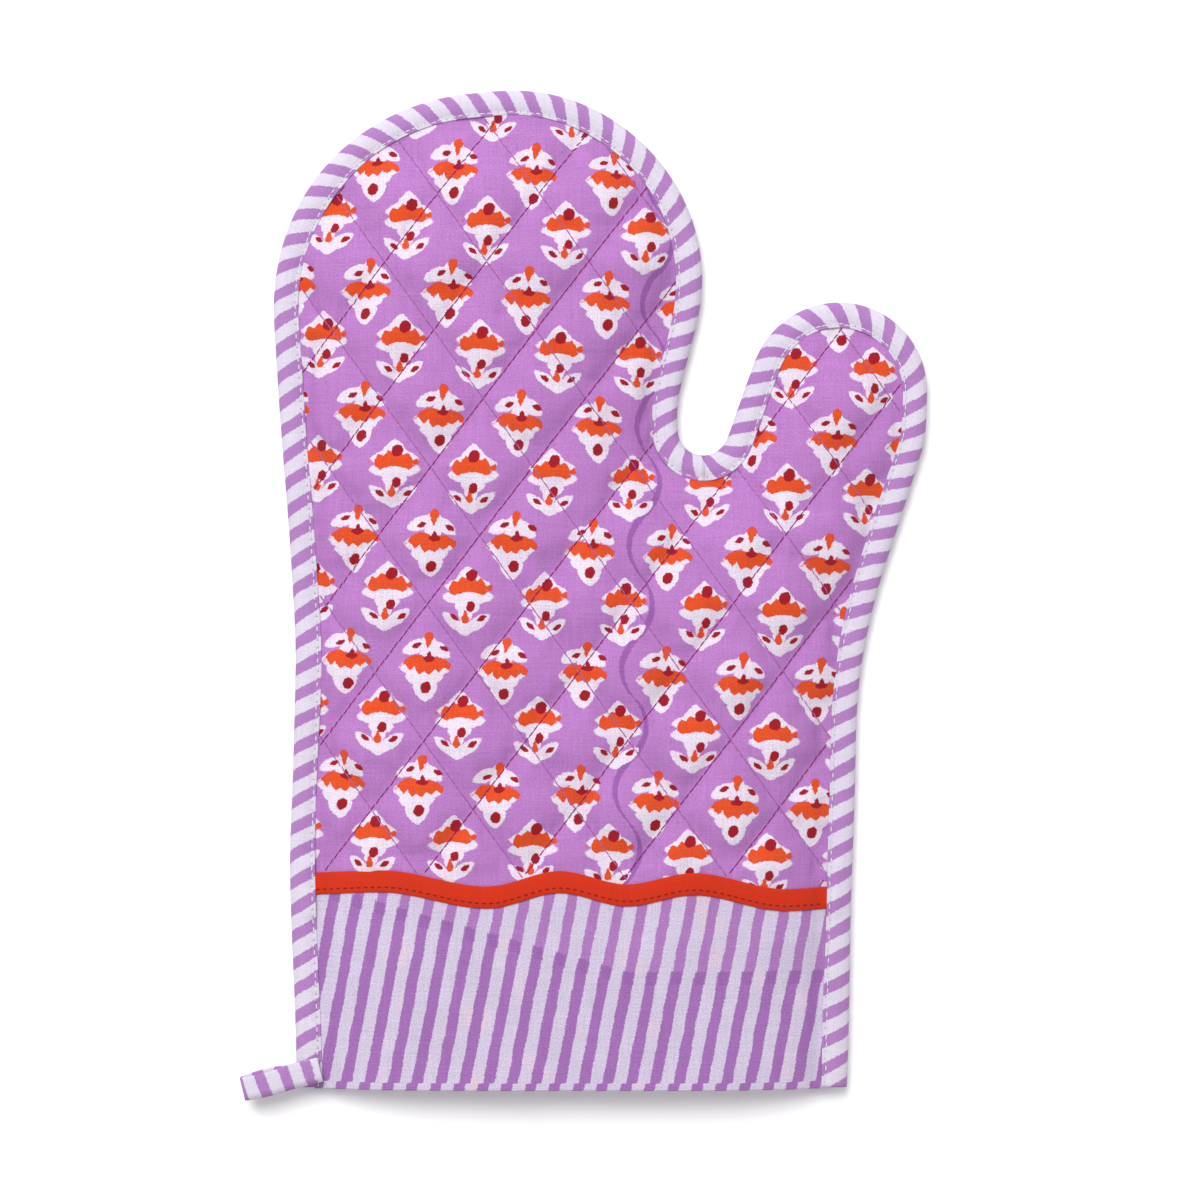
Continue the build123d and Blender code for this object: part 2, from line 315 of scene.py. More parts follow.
def raised(xy):
    """How far the palm side is raised at points (x, y), read from the chart."""
    place = (np.asarray(xy) - chart_low) / CHART_STEP
    cell = np.clip(place.astype(int), 0, np.array(chart.shape) - 2)
    part = place - cell
    i, j = cell.T
    u, v = part.T
    read = (chart[i, j] * (1 - u) * (1 - v) + chart[i + 1, j] * u * (1 - v)
            + chart[i, j + 1] * (1 - u) * v + chart[i + 1, j + 1] * u * v)
    return read * (1 - HEM_SAG * smooth_step(np.asarray(xy)[:, 1], hem_y + 95 * mm, hem_y - 5 * mm))


def swell(xy):
    """Height of the palm side's smooth outer surface at points (x, y)."""
    return rim_top + (palm_top - rim_top) * raised(xy)


def quilted(panel):
    """How strongly the quilting shows at each point: not under the binding or the cuff band."""
    inner = smooth_step(panel["depth"], BINDING_WIDTH, BINDING_WIDTH + 6 * mm)
    return inner * smooth_step(panel["xy"][:, 1], cuff_top - 2 * mm, cuff_top + 7 * mm)


def puff(panel):
    """1 in the middle of a diamond, 0 on its rows."""
    across, along = (np.abs(np.sin(math.pi * part)) for part in panel["row_part"])
    return (across * along) ** 0.45


print("rim", round(rim_top / mm, 2), "level top", round(palm_top / mm, 2),
      "trim top edge y", round(cuff_top / mm, 1))

# %% [markdown]
# Every layer of cloth is a thin closed shell: an outer face, the same face moved in by the cloth's
# thickness, and a wall round its edge. The fingers and the thumb fold separately, so each layer is one
# mesh while it is shaped, and is then parted along a quilting row from the notch to the heel, where
# neither fold moves it. Both parts keep the normals of the whole, so the join doesn't show.

# %% Helpers that make pieces
def plain_mesh(name, points, faces):
    """A mesh object of points and faces, placed in the scene."""
    mesh = bpy.data.meshes.new(name)
    mesh.from_pydata([tuple(p) for p in points], [], [tuple(int(k) for k in f) for f in faces])
    piece = bpy.data.objects.new(name, mesh)
    bpy.context.scene.collection.objects.link(piece)
    return piece


def add_piece(name, points, faces, flat, normals=None):
    """A mesh object with a UV map named cloth, which holds where each point lay in the flat cloth."""
    piece = plain_mesh(name, points, faces)
    mesh = piece.data
    uv = mesh.uv_layers.new(name="cloth")
    corners = np.empty(len(mesh.loops), np.int32)
    mesh.loops.foreach_get("vertex_index", corners)
    uv.data.foreach_set("uv", np.asarray(flat, np.float32)[corners].ravel())
    mesh.shade_smooth()
    if normals is not None:
        mesh.normals_split_custom_set_from_vertices([tuple(n) for n in normals])
    return piece


def point_normals(points, faces):
    """A smooth normal at each point of a quad mesh."""
    corner = points[faces]
    across = np.cross(corner[:, 2] - corner[:, 0], corner[:, 3] - corner[:, 1])
    normals = np.zeros_like(points)
    for place in range(4):
        np.add.at(normals, faces[:, place], across)
    return normals / np.maximum(np.linalg.norm(normals, axis=1), 1e-12)[:, None]


def shell(name, outer, inner, faces, flat, outer_normals, inner_normals):
    """A closed piece between two surfaces that share their faces."""
    used, faces = np.unique(faces, return_inverse=True)
    faces = faces.reshape(-1, 4)
    count = len(used)
    sides = np.concatenate([faces[:, [k, (k + 1) % 4]] for k in range(4)])
    keys, first, uses = np.unique(np.sort(sides, axis=1), axis=0, return_index=True, return_counts=True)
    rim_sides = sides[first[uses == 1]]
    walls = np.stack([rim_sides[:, 1], rim_sides[:, 0], rim_sides[:, 0] + count, rim_sides[:, 1] + count],
                     axis=1)
    points = np.concatenate([outer[used], inner[used]])
    quads = np.concatenate([faces, faces[:, ::-1] + count, walls])
    normals = np.concatenate([outer_normals[used], inner_normals[used]])
    return add_piece(name, points, quads, np.concatenate([flat[used], flat[used]]), normals)


def joint_reach(joint_name, past):
    """Where a fold starts, on the joint, and where it ends, past it."""
    joint = joints[joint_name]
    axis = Vector(joint["axis"])
    away = Vector((-axis.y, axis.x, 0))
    start = Vector(joint["pos_m"])
    return start, start + away * past


FINGER_FOLD = 28 * mm
FINGER_FOLD_EARLY = 3 * mm          # the fingers' fold starts this far below its joint
finger_start, finger_end = joint_reach("finger_bend", FINGER_FOLD - FINGER_FOLD_EARLY)
finger_start.y -= FINGER_FOLD_EARLY


def bend(piece, part):
    """Bakes a piece's place into its mesh, alike for the hand's part and the thumb's."""
    if part == "thumb":
        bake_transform(piece)
    else:
        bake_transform(piece)
    return piece


PART_ENDS = {"hand": ["palm", "fingers"], "thumb": ["thumb"]}


def two_parts(name, panel, outer, inner, replaced):
    """The hand's part and the thumb's part of a layer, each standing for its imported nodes."""
    outward = point_normals(outer, panel["faces"])
    inward = -point_normals(inner, panel["faces"])
    faces_down = outer[:, 2].mean() < inner[:, 2].mean()
    if faces_down:
        outward, inward = -outward, -inward
    made = {}
    for part, chosen in (("hand", ~panel["thumb"]), ("thumb", panel["thumb"])):
        faces = panel["faces"][chosen]
        if faces_down:
            faces = faces[:, ::-1]
        piece = shell(f"{part}_{name}", outer, inner, faces, panel["flat"], outward, inward)
        bend(piece, part)
        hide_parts(*[f"{replaced}_{end}" for end in PART_ENDS[part]])
        made[part] = piece
        print(piece.name, len(piece.data.polygons), "faces")
    return made


def flat_area(panel, part):
    """Area of the flat cut of the hand's or the thumb's part of a panel."""
    chosen = panel["thumb"] if part == "thumb" else ~panel["thumb"]
    corner = panel["flat"][panel["faces"][chosen]]
    a, b = corner[:, 2] - corner[:, 0], corner[:, 3] - corner[:, 1]
    return float(np.abs(a[:, 0] * b[:, 1] - a[:, 1] * b[:, 0]).sum() / 2)


def declare_cloth(pieces, panel):
    """Measures the flat area of the two parts of a layer of cloth, and keeps nothing of it."""
    for part, piece in pieces.items():
        flat_area(panel, part)


# %% [markdown]
# The palm side's printed cotton is the piece that everyone sees. Its pillows between the rows could be
# a formula, but real ones pucker, because the cloth between two rows is a little longer than the way
# straight across. So the panel is simulated as cloth: its rows, its edge and the part under the cuff
# band are pinned, the rest is cut a few percent too large, and pressure from below lifts it.

# %% Shape the palm side's printed cotton
def finer(panel, points):
    """Each face of a shaped panel cut in four and rounded, with what is known of its points."""
    piece = plain_mesh("finer", points, panel["faces"])
    mesh = piece.data
    mesh.polygons.foreach_set("material_index", panel["thumb"].astype(np.int32))
    values = mesh.attributes.new("flat", "FLOAT_VECTOR", "POINT")
    flat = np.concatenate([panel["xy"], panel["depth"][:, None]], axis=1)
    values.data.foreach_set("vector", flat.astype(np.float32).ravel())
    piece.modifiers.new("rounding", "SUBSURF").levels = 1
    piece.modifiers["rounding"].boundary_smooth = "PRESERVE_CORNERS"
    made = bpy.data.meshes.new_from_object(piece.evaluated_get(bpy.context.evaluated_depsgraph_get()))
    count = len(made.vertices)
    shaped, flat = np.empty(count * 3, np.float32), np.empty(count * 3, np.float32)
    made.vertices.foreach_get("co", shaped)
    made.attributes["flat"].data.foreach_get("vector", flat)
    faces, thumb = np.empty(len(made.loops), np.int32), np.empty(len(made.polygons), np.int32)
    made.loops.foreach_get("vertex_index", faces)
    made.polygons.foreach_get("material_index", thumb)
    bpy.data.objects.remove(piece)
    flat = flat.reshape(-1, 3).astype(float)
    return {"points": shaped.reshape(-1, 3).astype(float), "xy": flat[:, :2], "flat": flat[:, :2],
            "depth": flat[:, 2], "faces": faces.reshape(-1, 4), "thumb": thumb == 1}


def start_height(panel, side_groove):
    """Height of the palm side before the wadding swells it: rows pulled down, the rest on the swell."""
    base = swell(panel["xy"])
    base = base - UNDER_BAND * smooth_step(panel["xy"][:, 1], cuff_top - 4 * mm, cuff_top - 8 * mm)
    return base - side_groove * quilted(panel) * (1 - puff(panel))


SIM_SCALE = 20                      # cloth settings suit things metres wide, so the mitt is enlarged to this
EASE = 0.045                        # how much too large the cloth is cut
FRAMES = 26


def simulate(panel, points):
    """Lets the cloth between its sewn rows swell and pucker, and gives its points when it has settled."""
    uneven = rng.normal(0, 0.12 * mm, len(points)) * ~panel["on_row"]
    start = points + uneven[:, None] * (0, 0, 1)
    piece = plain_mesh("unsettled", start * SIM_SCALE, panel["faces"])
    held = panel["on_row"] | (panel["depth"] < BINDING_WIDTH + 0.5 * mm)
    held |= panel["xy"][:, 1] < cuff_top + 1.5 * mm
    piece.vertex_groups.new(name="sewn").add(np.flatnonzero(held).tolist(), 1.0, "REPLACE")
    cloth = piece.modifiers.new("cloth", "CLOTH")
    cloth.settings.vertex_group_mass = "sewn"
    cloth.settings.quality = 6
    cloth.settings.mass = 0.15
    cloth.settings.tension_stiffness = 30
    cloth.settings.compression_stiffness = 30
    cloth.settings.shear_stiffness = 8
    cloth.settings.bending_stiffness = 0.4
    cloth.settings.tension_damping = 10
    cloth.settings.compression_damping = 10
    cloth.settings.shrink_min = -EASE
    cloth.settings.use_pressure = True
    cloth.settings.uniform_pressure_force = 2.5
    cloth.settings.effector_weights.gravity = 0
    cloth.collision_settings.use_collision = False
    cloth.point_cache.frame_end = FRAMES
    for frame in range(1, FRAMES + 1):
        bpy.context.scene.frame_set(frame)
    settled = np.empty(len(points) * 3, np.float32)
    piece.evaluated_get(bpy.context.evaluated_depsgraph_get()).data.vertices.foreach_get("co", settled)
    bpy.data.objects.remove(piece)
    bpy.context.scene.frame_set(1)
    settled = settled.reshape(-1, 3).astype(float) / SIM_SCALE
    lift = settled[:, 2] - points[:, 2]
    print("cloth rose by", round(float(lift.max()) / mm, 2), "sank by", round(float(-lift.min()) / mm, 2),
          "moved aside", round(float(np.abs(settled - points)[:, :2].max()) / mm, 2))
    return settled


front_points = np.concatenate([fine["xy"], start_height(fine, GROOVE)[:, None]], axis=1)
front_points = simulate(fine, front_points)
front = finer(fine, front_points)
front_tree = BVHTree.FromPolygons([Vector(p) for p in front["points"]], front["faces"].tolist())
front_normals = point_normals(front["points"], front["faces"])
front_inner = front["points"] - front_normals * PRINT_THICK
front_print = two_parts("palm_print", front, front["points"], front_inner, "front_print")
declare_cloth(front_print, front)

# %% [markdown]
# The back is the same sandwich, lying on the table. Its pillows press flat where they touch it, and
# only its rows of stitching stand a little clear.

# %% Shape the back's printed cotton
BACK_GROOVE = 0.5 * mm
BACK_REST = 0.15 * mm               # the back lies this far above the model's lowest plane
back_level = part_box("back_print_palm")[0].z
back_coarse = lay_panel(4 * mm, 7)
back_lift = BACK_GROOVE * (1 - puff(back_coarse)) * quilted(back_coarse)
under_binding = smooth_step(back_coarse["depth"], BINDING_WIDTH + 3 * mm, BINDING_WIDTH)
back_z = BACK_REST + back_lift + (back_level - BACK_REST) * under_binding
back_points = np.concatenate([back_coarse["xy"], back_z[:, None]], axis=1)
back = finer(back_coarse, back_points)
back_tree = BVHTree.FromPolygons([Vector(p) for p in back["points"]], back["faces"].tolist())
back_inner = back["points"] + (0, 0, PRINT_THICK)
back_print = two_parts("back_print", back, back["points"], back_inner, "back_print")
declare_cloth(back_print, back)

# %% [markdown]
# Behind each print lies a sheet of needled cotton wadding and then a plain lining. They show only from
# the wrist, where the hand goes in, so a coarser mesh is enough, but each is a whole layer that fills
# its place in the sandwich.

# %% Wadding and lining
SHORT_OF_HEM = 3 * mm               # the wadding and the lining stop this far inside the hem
hidden = lay_panel(5 * mm, 8)
hidden["xy"][:, 1] += SHORT_OF_HEM * smooth_step(hidden["xy"][:, 1], hem_y + 14 * mm, hem_y)
hidden["flat"] = hidden["xy"]
lining_low, lining_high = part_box("front_lining_palm")
seam_z = lining_low.z
LINING_THICK = 0.4 * mm
back_wadding_low, back_wadding_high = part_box("back_wadding_palm")
pocket_top = lining_high.z - LINING_THICK


def pocket(xy, lift):
    """Height of a layer over the room for the hand: at the seam near the edge, and lifted by lift."""
    return seam_z + (pocket_top - seam_z) * raised(xy) ** 1.2 + lift


def layer(height):
    """Points of the hidden grid at a height, one number or one for each point."""
    return np.concatenate([hidden["xy"], np.broadcast_to(height, len(hidden["xy"]))[:, None]], axis=1)


CLEAR = 0.05 * mm
lining_under = pocket(hidden["xy"], CLEAR)
lining_over = pocket(hidden["xy"], LINING_THICK)
wadding_over = swell(hidden["xy"]) - PRINT_THICK - GROOVE * quilted(hidden) - 0.45 * mm
wadding_over -= UNDER_BAND * smooth_step(hidden["xy"][:, 1], cuff_top, cuff_top - 4 * mm)
wadding_over = np.maximum(wadding_over, lining_over + 0.3 * mm)
palm_lining = two_parts("palm_lining", hidden, layer(lining_over), layer(lining_under), "front_lining")
palm_wadding = two_parts("palm_wadding", hidden, layer(wadding_over), layer(lining_over + CLEAR),
                         "front_wadding")
back_wadding = two_parts("back_wadding", hidden, layer(back_wadding_low.z + BACK_GROOVE + CLEAR),
                         layer(back_wadding_high.z - CLEAR), "back_wadding")
back_lining = two_parts("back_lining", hidden, layer(back_wadding_high.z),
                        layer(seam_z - CLEAR), "back_lining")
declare_cloth(palm_lining, hidden)
declare_cloth(back_lining, hidden)

# %% [markdown]
# The cuff band is one striped strip, folded over the hem: its outer half lies on the palm side, its
# inner half lines the mouth. It is laid as rows of points that run along the strip and bend round the
# hem, so the fold is real. Its stripes are printed, so the mesh carries only the cloth's own unevenness.

# %% Helpers for strips of cloth
BAND_THICK = 0.45 * mm
TRIM_WIDTH = 7.3 * mm
TRIM_TURNS = [                      # in mm: across from the middle of the cuff, and up from the hem
    (-96, 67.0), (-62, 68.7), (-28, 63.5), (-4, 68.6), (18, 64.2), (40, 67.9), (71, 62.3), (96, 63.2)]


def trim_middle(x):
    """Height above the hem of the trim's middle line, which wanders between a few turning points."""
    across = (np.asarray(x) - wrist_x) / mm
    turns = np.array(TRIM_TURNS)
    place = np.clip(np.searchsorted(turns[:, 0], across) - 1, 0, len(turns) - 2)
    t = smooth_step(across, turns[place, 0], turns[place + 1, 0])
    return (turns[place, 1] * (1 - t) + turns[place + 1, 1] * t) * mm


def grid_faces(rows, columns, around=False):
    """Quads of a grid of points, closed round its columns if asked."""
    number = np.arange(rows * columns).reshape(rows, columns)
    if around:
        number = np.concatenate([number, number[:, :1]], axis=1)
    faces = np.stack([number[:-1, :-1], number[:-1, 1:], number[1:, 1:], number[1:, :-1]], axis=2)
    return faces.reshape(-1, 4)


def swept_faces(count, corners):
    """Faces of a section of corners swept along a line of count places, and closed at both ends."""
    first_end = list(range(corners))
    last_end = list(range((count - 1) * corners, count * corners))
    return grid_faces(count, corners, around=True).tolist() + [first_end[::-1], last_end]


def side_limits(y, inset):
    """Left and right edge of the mitt at height y, moved in by inset."""
    half = len(edge_line) // 3
    left, right = edge_line[:half], edge_line[-half:][::-1]
    return (np.interp(y, left[:, 1], left[:, 0]) + inset, np.interp(y, right[:, 1], right[:, 0]) - inset)


def strip(name, surface, flat, thick):
    """A closed strip from a grid of points, thickened inward, with its flat places as UVs."""
    rows, columns = surface.shape[:2]
    points = surface.reshape(-1, 3)
    faces = grid_faces(rows, columns)
    normals = point_normals(points, faces)
    return shell(name, points, points - normals * thick, faces, flat.reshape(-1, 2), normals, -normals)


def ripple(points, size, seed):
    """Soft unevenness between -1 and 1 over the cloth, bumps about size across."""
    made = np.zeros(len(points))
    waves = np.random.default_rng(seed)
    for _ in range(9):
        angle, phase = waves.uniform(0, 2 * math.pi, 2)
        length = size * waves.uniform(0.8, 2.4)
        travel = points[:, 0] * math.cos(angle) + points[:, 1] * math.sin(angle)
        made += np.sin(travel * 2 * math.pi / length + phase)
    return made / 4.5


# %% [markdown]
# Under the hand the band is soft and a little rumpled, so its outer half follows the palm side's swell
# with low bumps added. Towards the binding and the trim the sewing holds it flat, and there the bumps
# fade out. At the hem the strip turns in a half circle and runs back up into the mouth as a facing.

# %% The three stretches of a cuff band
FACING = 14 * mm                    # how far the band runs back up inside the mouth
UNDER_BINDING = 2.5 * mm            # how far the palm side's band and trim reach under the binding
BESIDE_BINDING = 0.3 * mm           # how far the back's stop short of it
HEM_BULGE = 0.5 * mm


def cuff_row(y, inset):
    """A row of points across the cuff at one y, from edge to edge."""
    left, right = side_limits(y, inset)
    return left + (right - left) * np.linspace(0, 1, 141)


def band_outside(side, inset):
    """Rows of the band's outer half, from its upper edge down to the hem."""
    rows = []
    x = cuff_row(hem_y + 1 * mm, inset)
    for share in np.linspace(1, 0, 46):
        top = hem_y + trim_middle(x) if side == "palm" else np.full_like(x, cuff_top - TRIM_WIDTH / 2)
        y = hem_y + (top - hem_y) * share
        x = cuff_row(y, inset)
        place = np.stack([x, y], axis=1)
        bumps = ripple(place, 12 * mm, 3) * 0.2 * mm + ripple(place, 34 * mm, 8) * 0.5 * mm + 0.3 * mm
        bumps = bumps * smooth_step(depth_inside(place), 7 * mm, 16 * mm)
        bumps = bumps * smooth_step(y, hem_y + 58 * mm, hem_y + 46 * mm)
        if side == "palm":
            z = swell(place) + BAND_THICK + 0.12 * mm + bumps
        else:
            z = np.full_like(x, BACK_REST) - bumps * 0.5
        rows.append(np.stack([x, y, z], axis=1))
    return rows


def facing_height(side, place, highest):
    """Height of the facing inside the mouth, between the seam and the highest it may be."""
    if side == "back":
        return np.full(len(place), seam_z + BAND_THICK)
    return np.minimum(np.maximum(pocket(place, -BAND_THICK), seam_z + 0.3 * mm), highest)


def hem_fold(x, outer_z, inner_z, fold):
    """Rows that turn round the hem, with how far each lies along the cloth."""
    rows, run = [], []
    for angle in np.linspace(0, math.pi, 9)[1:]:
        z = (outer_z + inner_z) / 2 + (outer_z - inner_z) / 2 * math.cos(angle)
        y = hem_y - np.minimum(fold, HEM_BULGE) * math.sin(angle)
        rows.append(np.stack([x, y, z], axis=1))
        run.append(fold * angle)
    return rows, run


def band_inside(side, x, inner_z, fold):
    """Rows of the facing, from the hem up into the mouth, with how far each lies along the cloth."""
    rows, run = [], []
    for share in np.linspace(0, 1, 6)[1:]:
        place = np.stack([x, hem_y + FACING * share + 0 * x], axis=1)
        z = facing_height(side, place, inner_z + 4 * mm)
        rows.append(np.concatenate([place, z[:, None]], axis=1))
        run.append(fold * math.pi + FACING * share)
    return rows, run


# %% [markdown]
# The whole band is then the three stretches in one grid. Each point also keeps its place in the flat
# cloth, so the printed stripes run on unbroken over the hem and up the inside.

# %% The cuff bands
def cuff_band(name, side, replaced):
    """The striped band of one side of the cuff: up the outside, round the hem, and into the mouth."""
    inset = BINDING_WIDTH + (-UNDER_BINDING if side == "palm" else BESIDE_BINDING)
    outside = band_outside(side, inset)
    x, _, outer_z = outside[-1].T
    inner_z = facing_height(side, outside[-1][:, :2], outer_z - 1 * mm)
    fold = np.abs(outer_z - inner_z) / 2
    turned, turned_run = hem_fold(x, outer_z, inner_z, fold)
    inside, inside_run = band_inside(side, x, inner_z, fold)
    surface = np.array(outside + turned + inside)
    hidden_flat = [np.stack([x, hem_y - run], axis=1) for run in turned_run + inside_run]
    flat = np.array([row[:, :2] for row in outside] + hidden_flat)
    if side == "palm":
        surface, flat = surface[::-1], flat[::-1]
    piece = strip(name, surface, flat, BAND_THICK)
    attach(piece, "palm")
    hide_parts(*replaced)
    return piece


palm_band = cuff_band("striped_band_palm", "palm", ["front_cuff_band", "front_hem_facing"])
back_band = cuff_band("striped_band_back", "back", ["back_cuff_band", "back_hem_facing"])

# %% [markdown]
# The orange trim is a bias tape with both edges turned under, sewn over the raw top edge of the band.
# Sewn by hand over soft wadding, it wanders up and down. Its section is a low arch with rounded edges.

# %% The trims
TRIM_SECTION = [                    # left half, in mm: turned edge, round the fold, over, and back inside
    (0, 0.44), (-3.1, 0.38), (-3.42, 0.3), (-3.2, 0.22), (-1.2, 0.22), (-1.2, 0), (-3.3, 0), (-3.66, 0.14),
    (-3.62, 0.46), (-3.2, 0.62), (-1.6, 0.67)]


def trim(name, side, replaced):
    """Bias tape across the cuff, as a closed strip with an arched section."""
    columns = 180
    section = np.array(TRIM_SECTION + [(-across, up) for across, up in TRIM_SECTION[::-1]]) * mm
    inset = BINDING_WIDTH + (-UNDER_BINDING if side == "palm" else BESIDE_BINDING)
    points, flat = [], []
    for share in np.linspace(0, 1, columns):
        x = 0.0
        for _ in range(2):
            middle = hem_y + (trim_middle(x) if side == "palm" else cuff_top - hem_y - TRIM_WIDTH / 2)
            left, right = side_limits(middle, inset)
            x = left + (right - left) * share
        y = middle + section[:, 0]
        xs = np.full(len(section), x)
        if side == "palm":
            base = swell(np.stack([xs, y], axis=1)) + BAND_THICK + 0.1 * mm
            sag = smooth_step(y, middle + 0.5 * mm, middle + TRIM_WIDTH / 2) * (BAND_THICK - 0.1 * mm)
            z = base - sag + section[:, 1]
        else:
            z = back_level + 0.05 * mm - section[:, 1]
        points.append(np.stack([xs, y, z], axis=1))
        flat.append(np.stack([xs, y], axis=1))
    surface, flat = np.array(points), np.array(flat)
    faces = swept_faces(columns, len(section))
    if side == "palm":
        faces = [face[::-1] for face in faces]
    piece = add_piece(name, surface.reshape(-1, 3), faces, flat.reshape(-1, 2))
    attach(piece, "palm")
    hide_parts(replaced)
    return piece


palm_trim = trim("bias_trim_palm", "palm", "front_trim")
back_trim = trim("bias_trim_back", "back", "back_trim")

# %% [markdown]
# The binding is one bias tape folded over every raw edge but the hem's. It is swept along the outline:
# at each millimetre the same folded section, opened a little by what it wraps. Along its inner edge
# the stitching pulls it down, which puckers it unevenly, so the section breathes along its length. At
# the hem the tape's ends are tucked in, so the section is closed there.

# %% The binding
BINDING_SECTION = [                 # in mm: inward from the edge, and up
    (8.45, 0.05), (7.6, -0.02), (5.5, 0.0), (3.4, 0.05), (1.9, 0.45), (0.8, 1.25), (0.15, 2.3), (0.0, 3.4),
    (0.12, 4.5), (0.6, 5.5), (1.4, 6.25), (2.5, 6.7), (3.8, 6.95), (5.2, 6.95), (6.4, 6.7), (7.15, 6.42),
    (7.6, 6.4), (8.05, 6.62), (8.4, 6.6), (8.55, 6.35), (8.35, 6.05), (7.4, 5.98), (4.5, 6.05), (2.2, 5.4),
    (1.0, 3.4), (2.2, 1.2), (4.5, 0.65), (7.4, 0.6), (8.35, 0.55)]
FOLD_POINT = 7                      # the point of the section at the outer edge
LIP_POINT = 18                      # and the one at the inner lip on the palm side
ON_PALM = slice(12, 17)             # the points that lie on the palm side, up to its stitching
UPPER_INSIDE = slice(20, 24)        # the points inside the fold, above what it wraps and below it
LOWER_INSIDE = slice(25, None)
MIDDLE_HEIGHT = 3.4 * mm


def stack_height(y):
    """How much the band and trim lift what is sewn over them, at one y."""
    above = y - hem_y
    band = BAND_THICK * smooth_step(above, 66 * mm, 62 * mm)
    return band + 0.9 * mm * smooth_step(above, 54 * mm, 58.5 * mm) * smooth_step(above, 78 * mm, 73.5 * mm)


def binding_station(index):
    """The binding's section at one step along the outline."""
    section = np.array(BINDING_SECTION) * mm
    along = index * RIM_STEP
    pucker = math.sin(along / (2.9 * mm) + 2.2 * math.sin(along / (17 * mm)))
    sway = math.sin(along / (23 * mm) + 1) + 0.6 * math.sin(along / (9.1 * mm))
    near_stitch = smooth_step(section[:, 0], 4 * mm, 7.4 * mm) * (section[:, 1] > 4 * mm)
    section[:, 1] += near_stitch * 0.13 * mm * pucker
    section[:, 0] += smooth_step(section[:, 0], 5 * mm, 8 * mm) * 0.16 * mm * sway
    section[:, 0] += smooth_step(section[:, 0], 3 * mm, 0) * 0.14 * mm * math.sin(along / (13 * mm))
    if index in (0, len(edge_line) - 1):
        section[UPPER_INSIDE, 1] = MIDDLE_HEIGHT + 0.02 * mm
        section[LOWER_INSIDE, 1] = MIDDLE_HEIGHT - 0.02 * mm
    points = edge_line[index] + section[:, :1] * edge_inward[index]
    lift = stack_height(points[:, 1]) * smooth_step(section[:, 0], 2 * mm, 6 * mm) * (section[:, 1] > 3 * mm)
    return np.concatenate([points, (section[:, 1] + lift)[:, None]], axis=1)


def section_run():
    """How far round the fold each point of the section lies, from the outer edge, for the stripes."""
    section = np.array(BINDING_SECTION)
    steps = np.r_[0, np.cumsum(np.linalg.norm(np.diff(section, axis=0), axis=1))]
    run = np.where(np.arange(len(steps)) <= LIP_POINT, steps, 2 * steps[LIP_POINT] - steps)
    return (run - steps[FOLD_POINT]) * mm


tape_middle = edge_line + BINDING_WIDTH / 2 * edge_inward
tape_run = np.r_[0, np.cumsum(np.linalg.norm(np.diff(tape_middle, axis=0), axis=1))]


def binding(name, first, last, part, replaced):
    """One run of the binding, from one step of the outline to another."""
    stations = np.array([binding_station(index) for index in range(first, last + 1)])
    count, corners = stations.shape[:2]
    run = np.broadcast_to(section_run(), (count, corners))
    along = np.broadcast_to(tape_run[first:last + 1, None], (count, corners))
    flat = np.stack([along, run], axis=2)
    piece = add_piece(name, stations.reshape(-1, 3), swept_faces(count, corners), flat.reshape(-1, 2))
    bend(piece, part)
    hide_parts(*replaced)
    return piece


near_notch = np.hypot(edge_line[:, 0] - notch_x, edge_line[:, 1] - notch_y)
notch_step = int(np.argmin(near_notch))
hand_binding = binding("hand_binding", 0, notch_step, "hand",
                       ["binding_side", "binding_fingers", "binding_notch"])
thumb_binding = binding("thumb_binding", notch_step, len(edge_line) - 1, "thumb",
                        ["binding_thumb", "binding_heel"])

# %% [markdown]
# Stitches are what hold a mitt together, and they are seen from close by, so each is a real one: a
# short bow of thread whose ends dive into the cloth. They could be scattered by a particle system, but
# then they would not follow the seam exactly, so one small capsule is copied along each sewn line.

# %% Helpers for stitches
STITCH_RINGS = [                    # shares of half the length, and of the thread's radius there
    (-1.0, 0.0), (-0.86, 0.66), (-0.45, 1.0), (0.0, 1.06), (0.45, 1.0), (0.86, 0.66), (1.0, 0.0)]
STITCH_SIDES = 6


def one_stitch(length, radius):
    """Points of a stitch along X, its ends sunk, with its faces and flat places."""
    points, flat = [], []
    for along, wide in STITCH_RINGS:
        for side in range(STITCH_SIDES):
            angle = 2 * math.pi * side / STITCH_SIDES
            sunk = -1.6 * radius * along ** 4
            size = max(wide, 0.12) * radius
            points.append((along * length / 2, math.cos(angle) * size, math.sin(angle) * size + sunk))
            flat.append((along * length / 2, angle * radius))
    faces = swept_faces(len(STITCH_RINGS), STITCH_SIDES)
    return np.array(points), [face[::-1] for face in faces], np.array(flat)


def sew(name, places, headings, normals, length, radius, slots=None):
    """One piece with a stitch at each place, along its heading and lying on its normal."""
    template, template_faces, template_flat = one_stitch(length, radius)
    headings = headings - normals * (headings * normals).sum(axis=1)[:, None]
    headings /= np.linalg.norm(headings, axis=1)[:, None]
    across = np.cross(normals, headings)
    turned = (template[None, :, :1] * headings[:, None] + template[None, :, 1:2] * across[:, None]
              + template[None, :, 2:] * normals[:, None])
    points = (places[:, None] + turned).reshape(-1, 3)
    faces = [[k + number * len(template) for k in face] for number in range(len(places))
             for face in template_faces]
    flat = np.tile(template_flat, (len(places), 1))
    flat[:, 0] += np.repeat(np.arange(len(places)) * length * 1.37, len(template))
    piece = add_piece(name, points, faces, flat)
    if slots is not None:
        slot_of_face = np.repeat(slots, len(template_faces)).astype(np.int32)
        piece.data.polygons.foreach_set("material_index", slot_of_face)
    print(name, len(places), "stitches")
    return piece


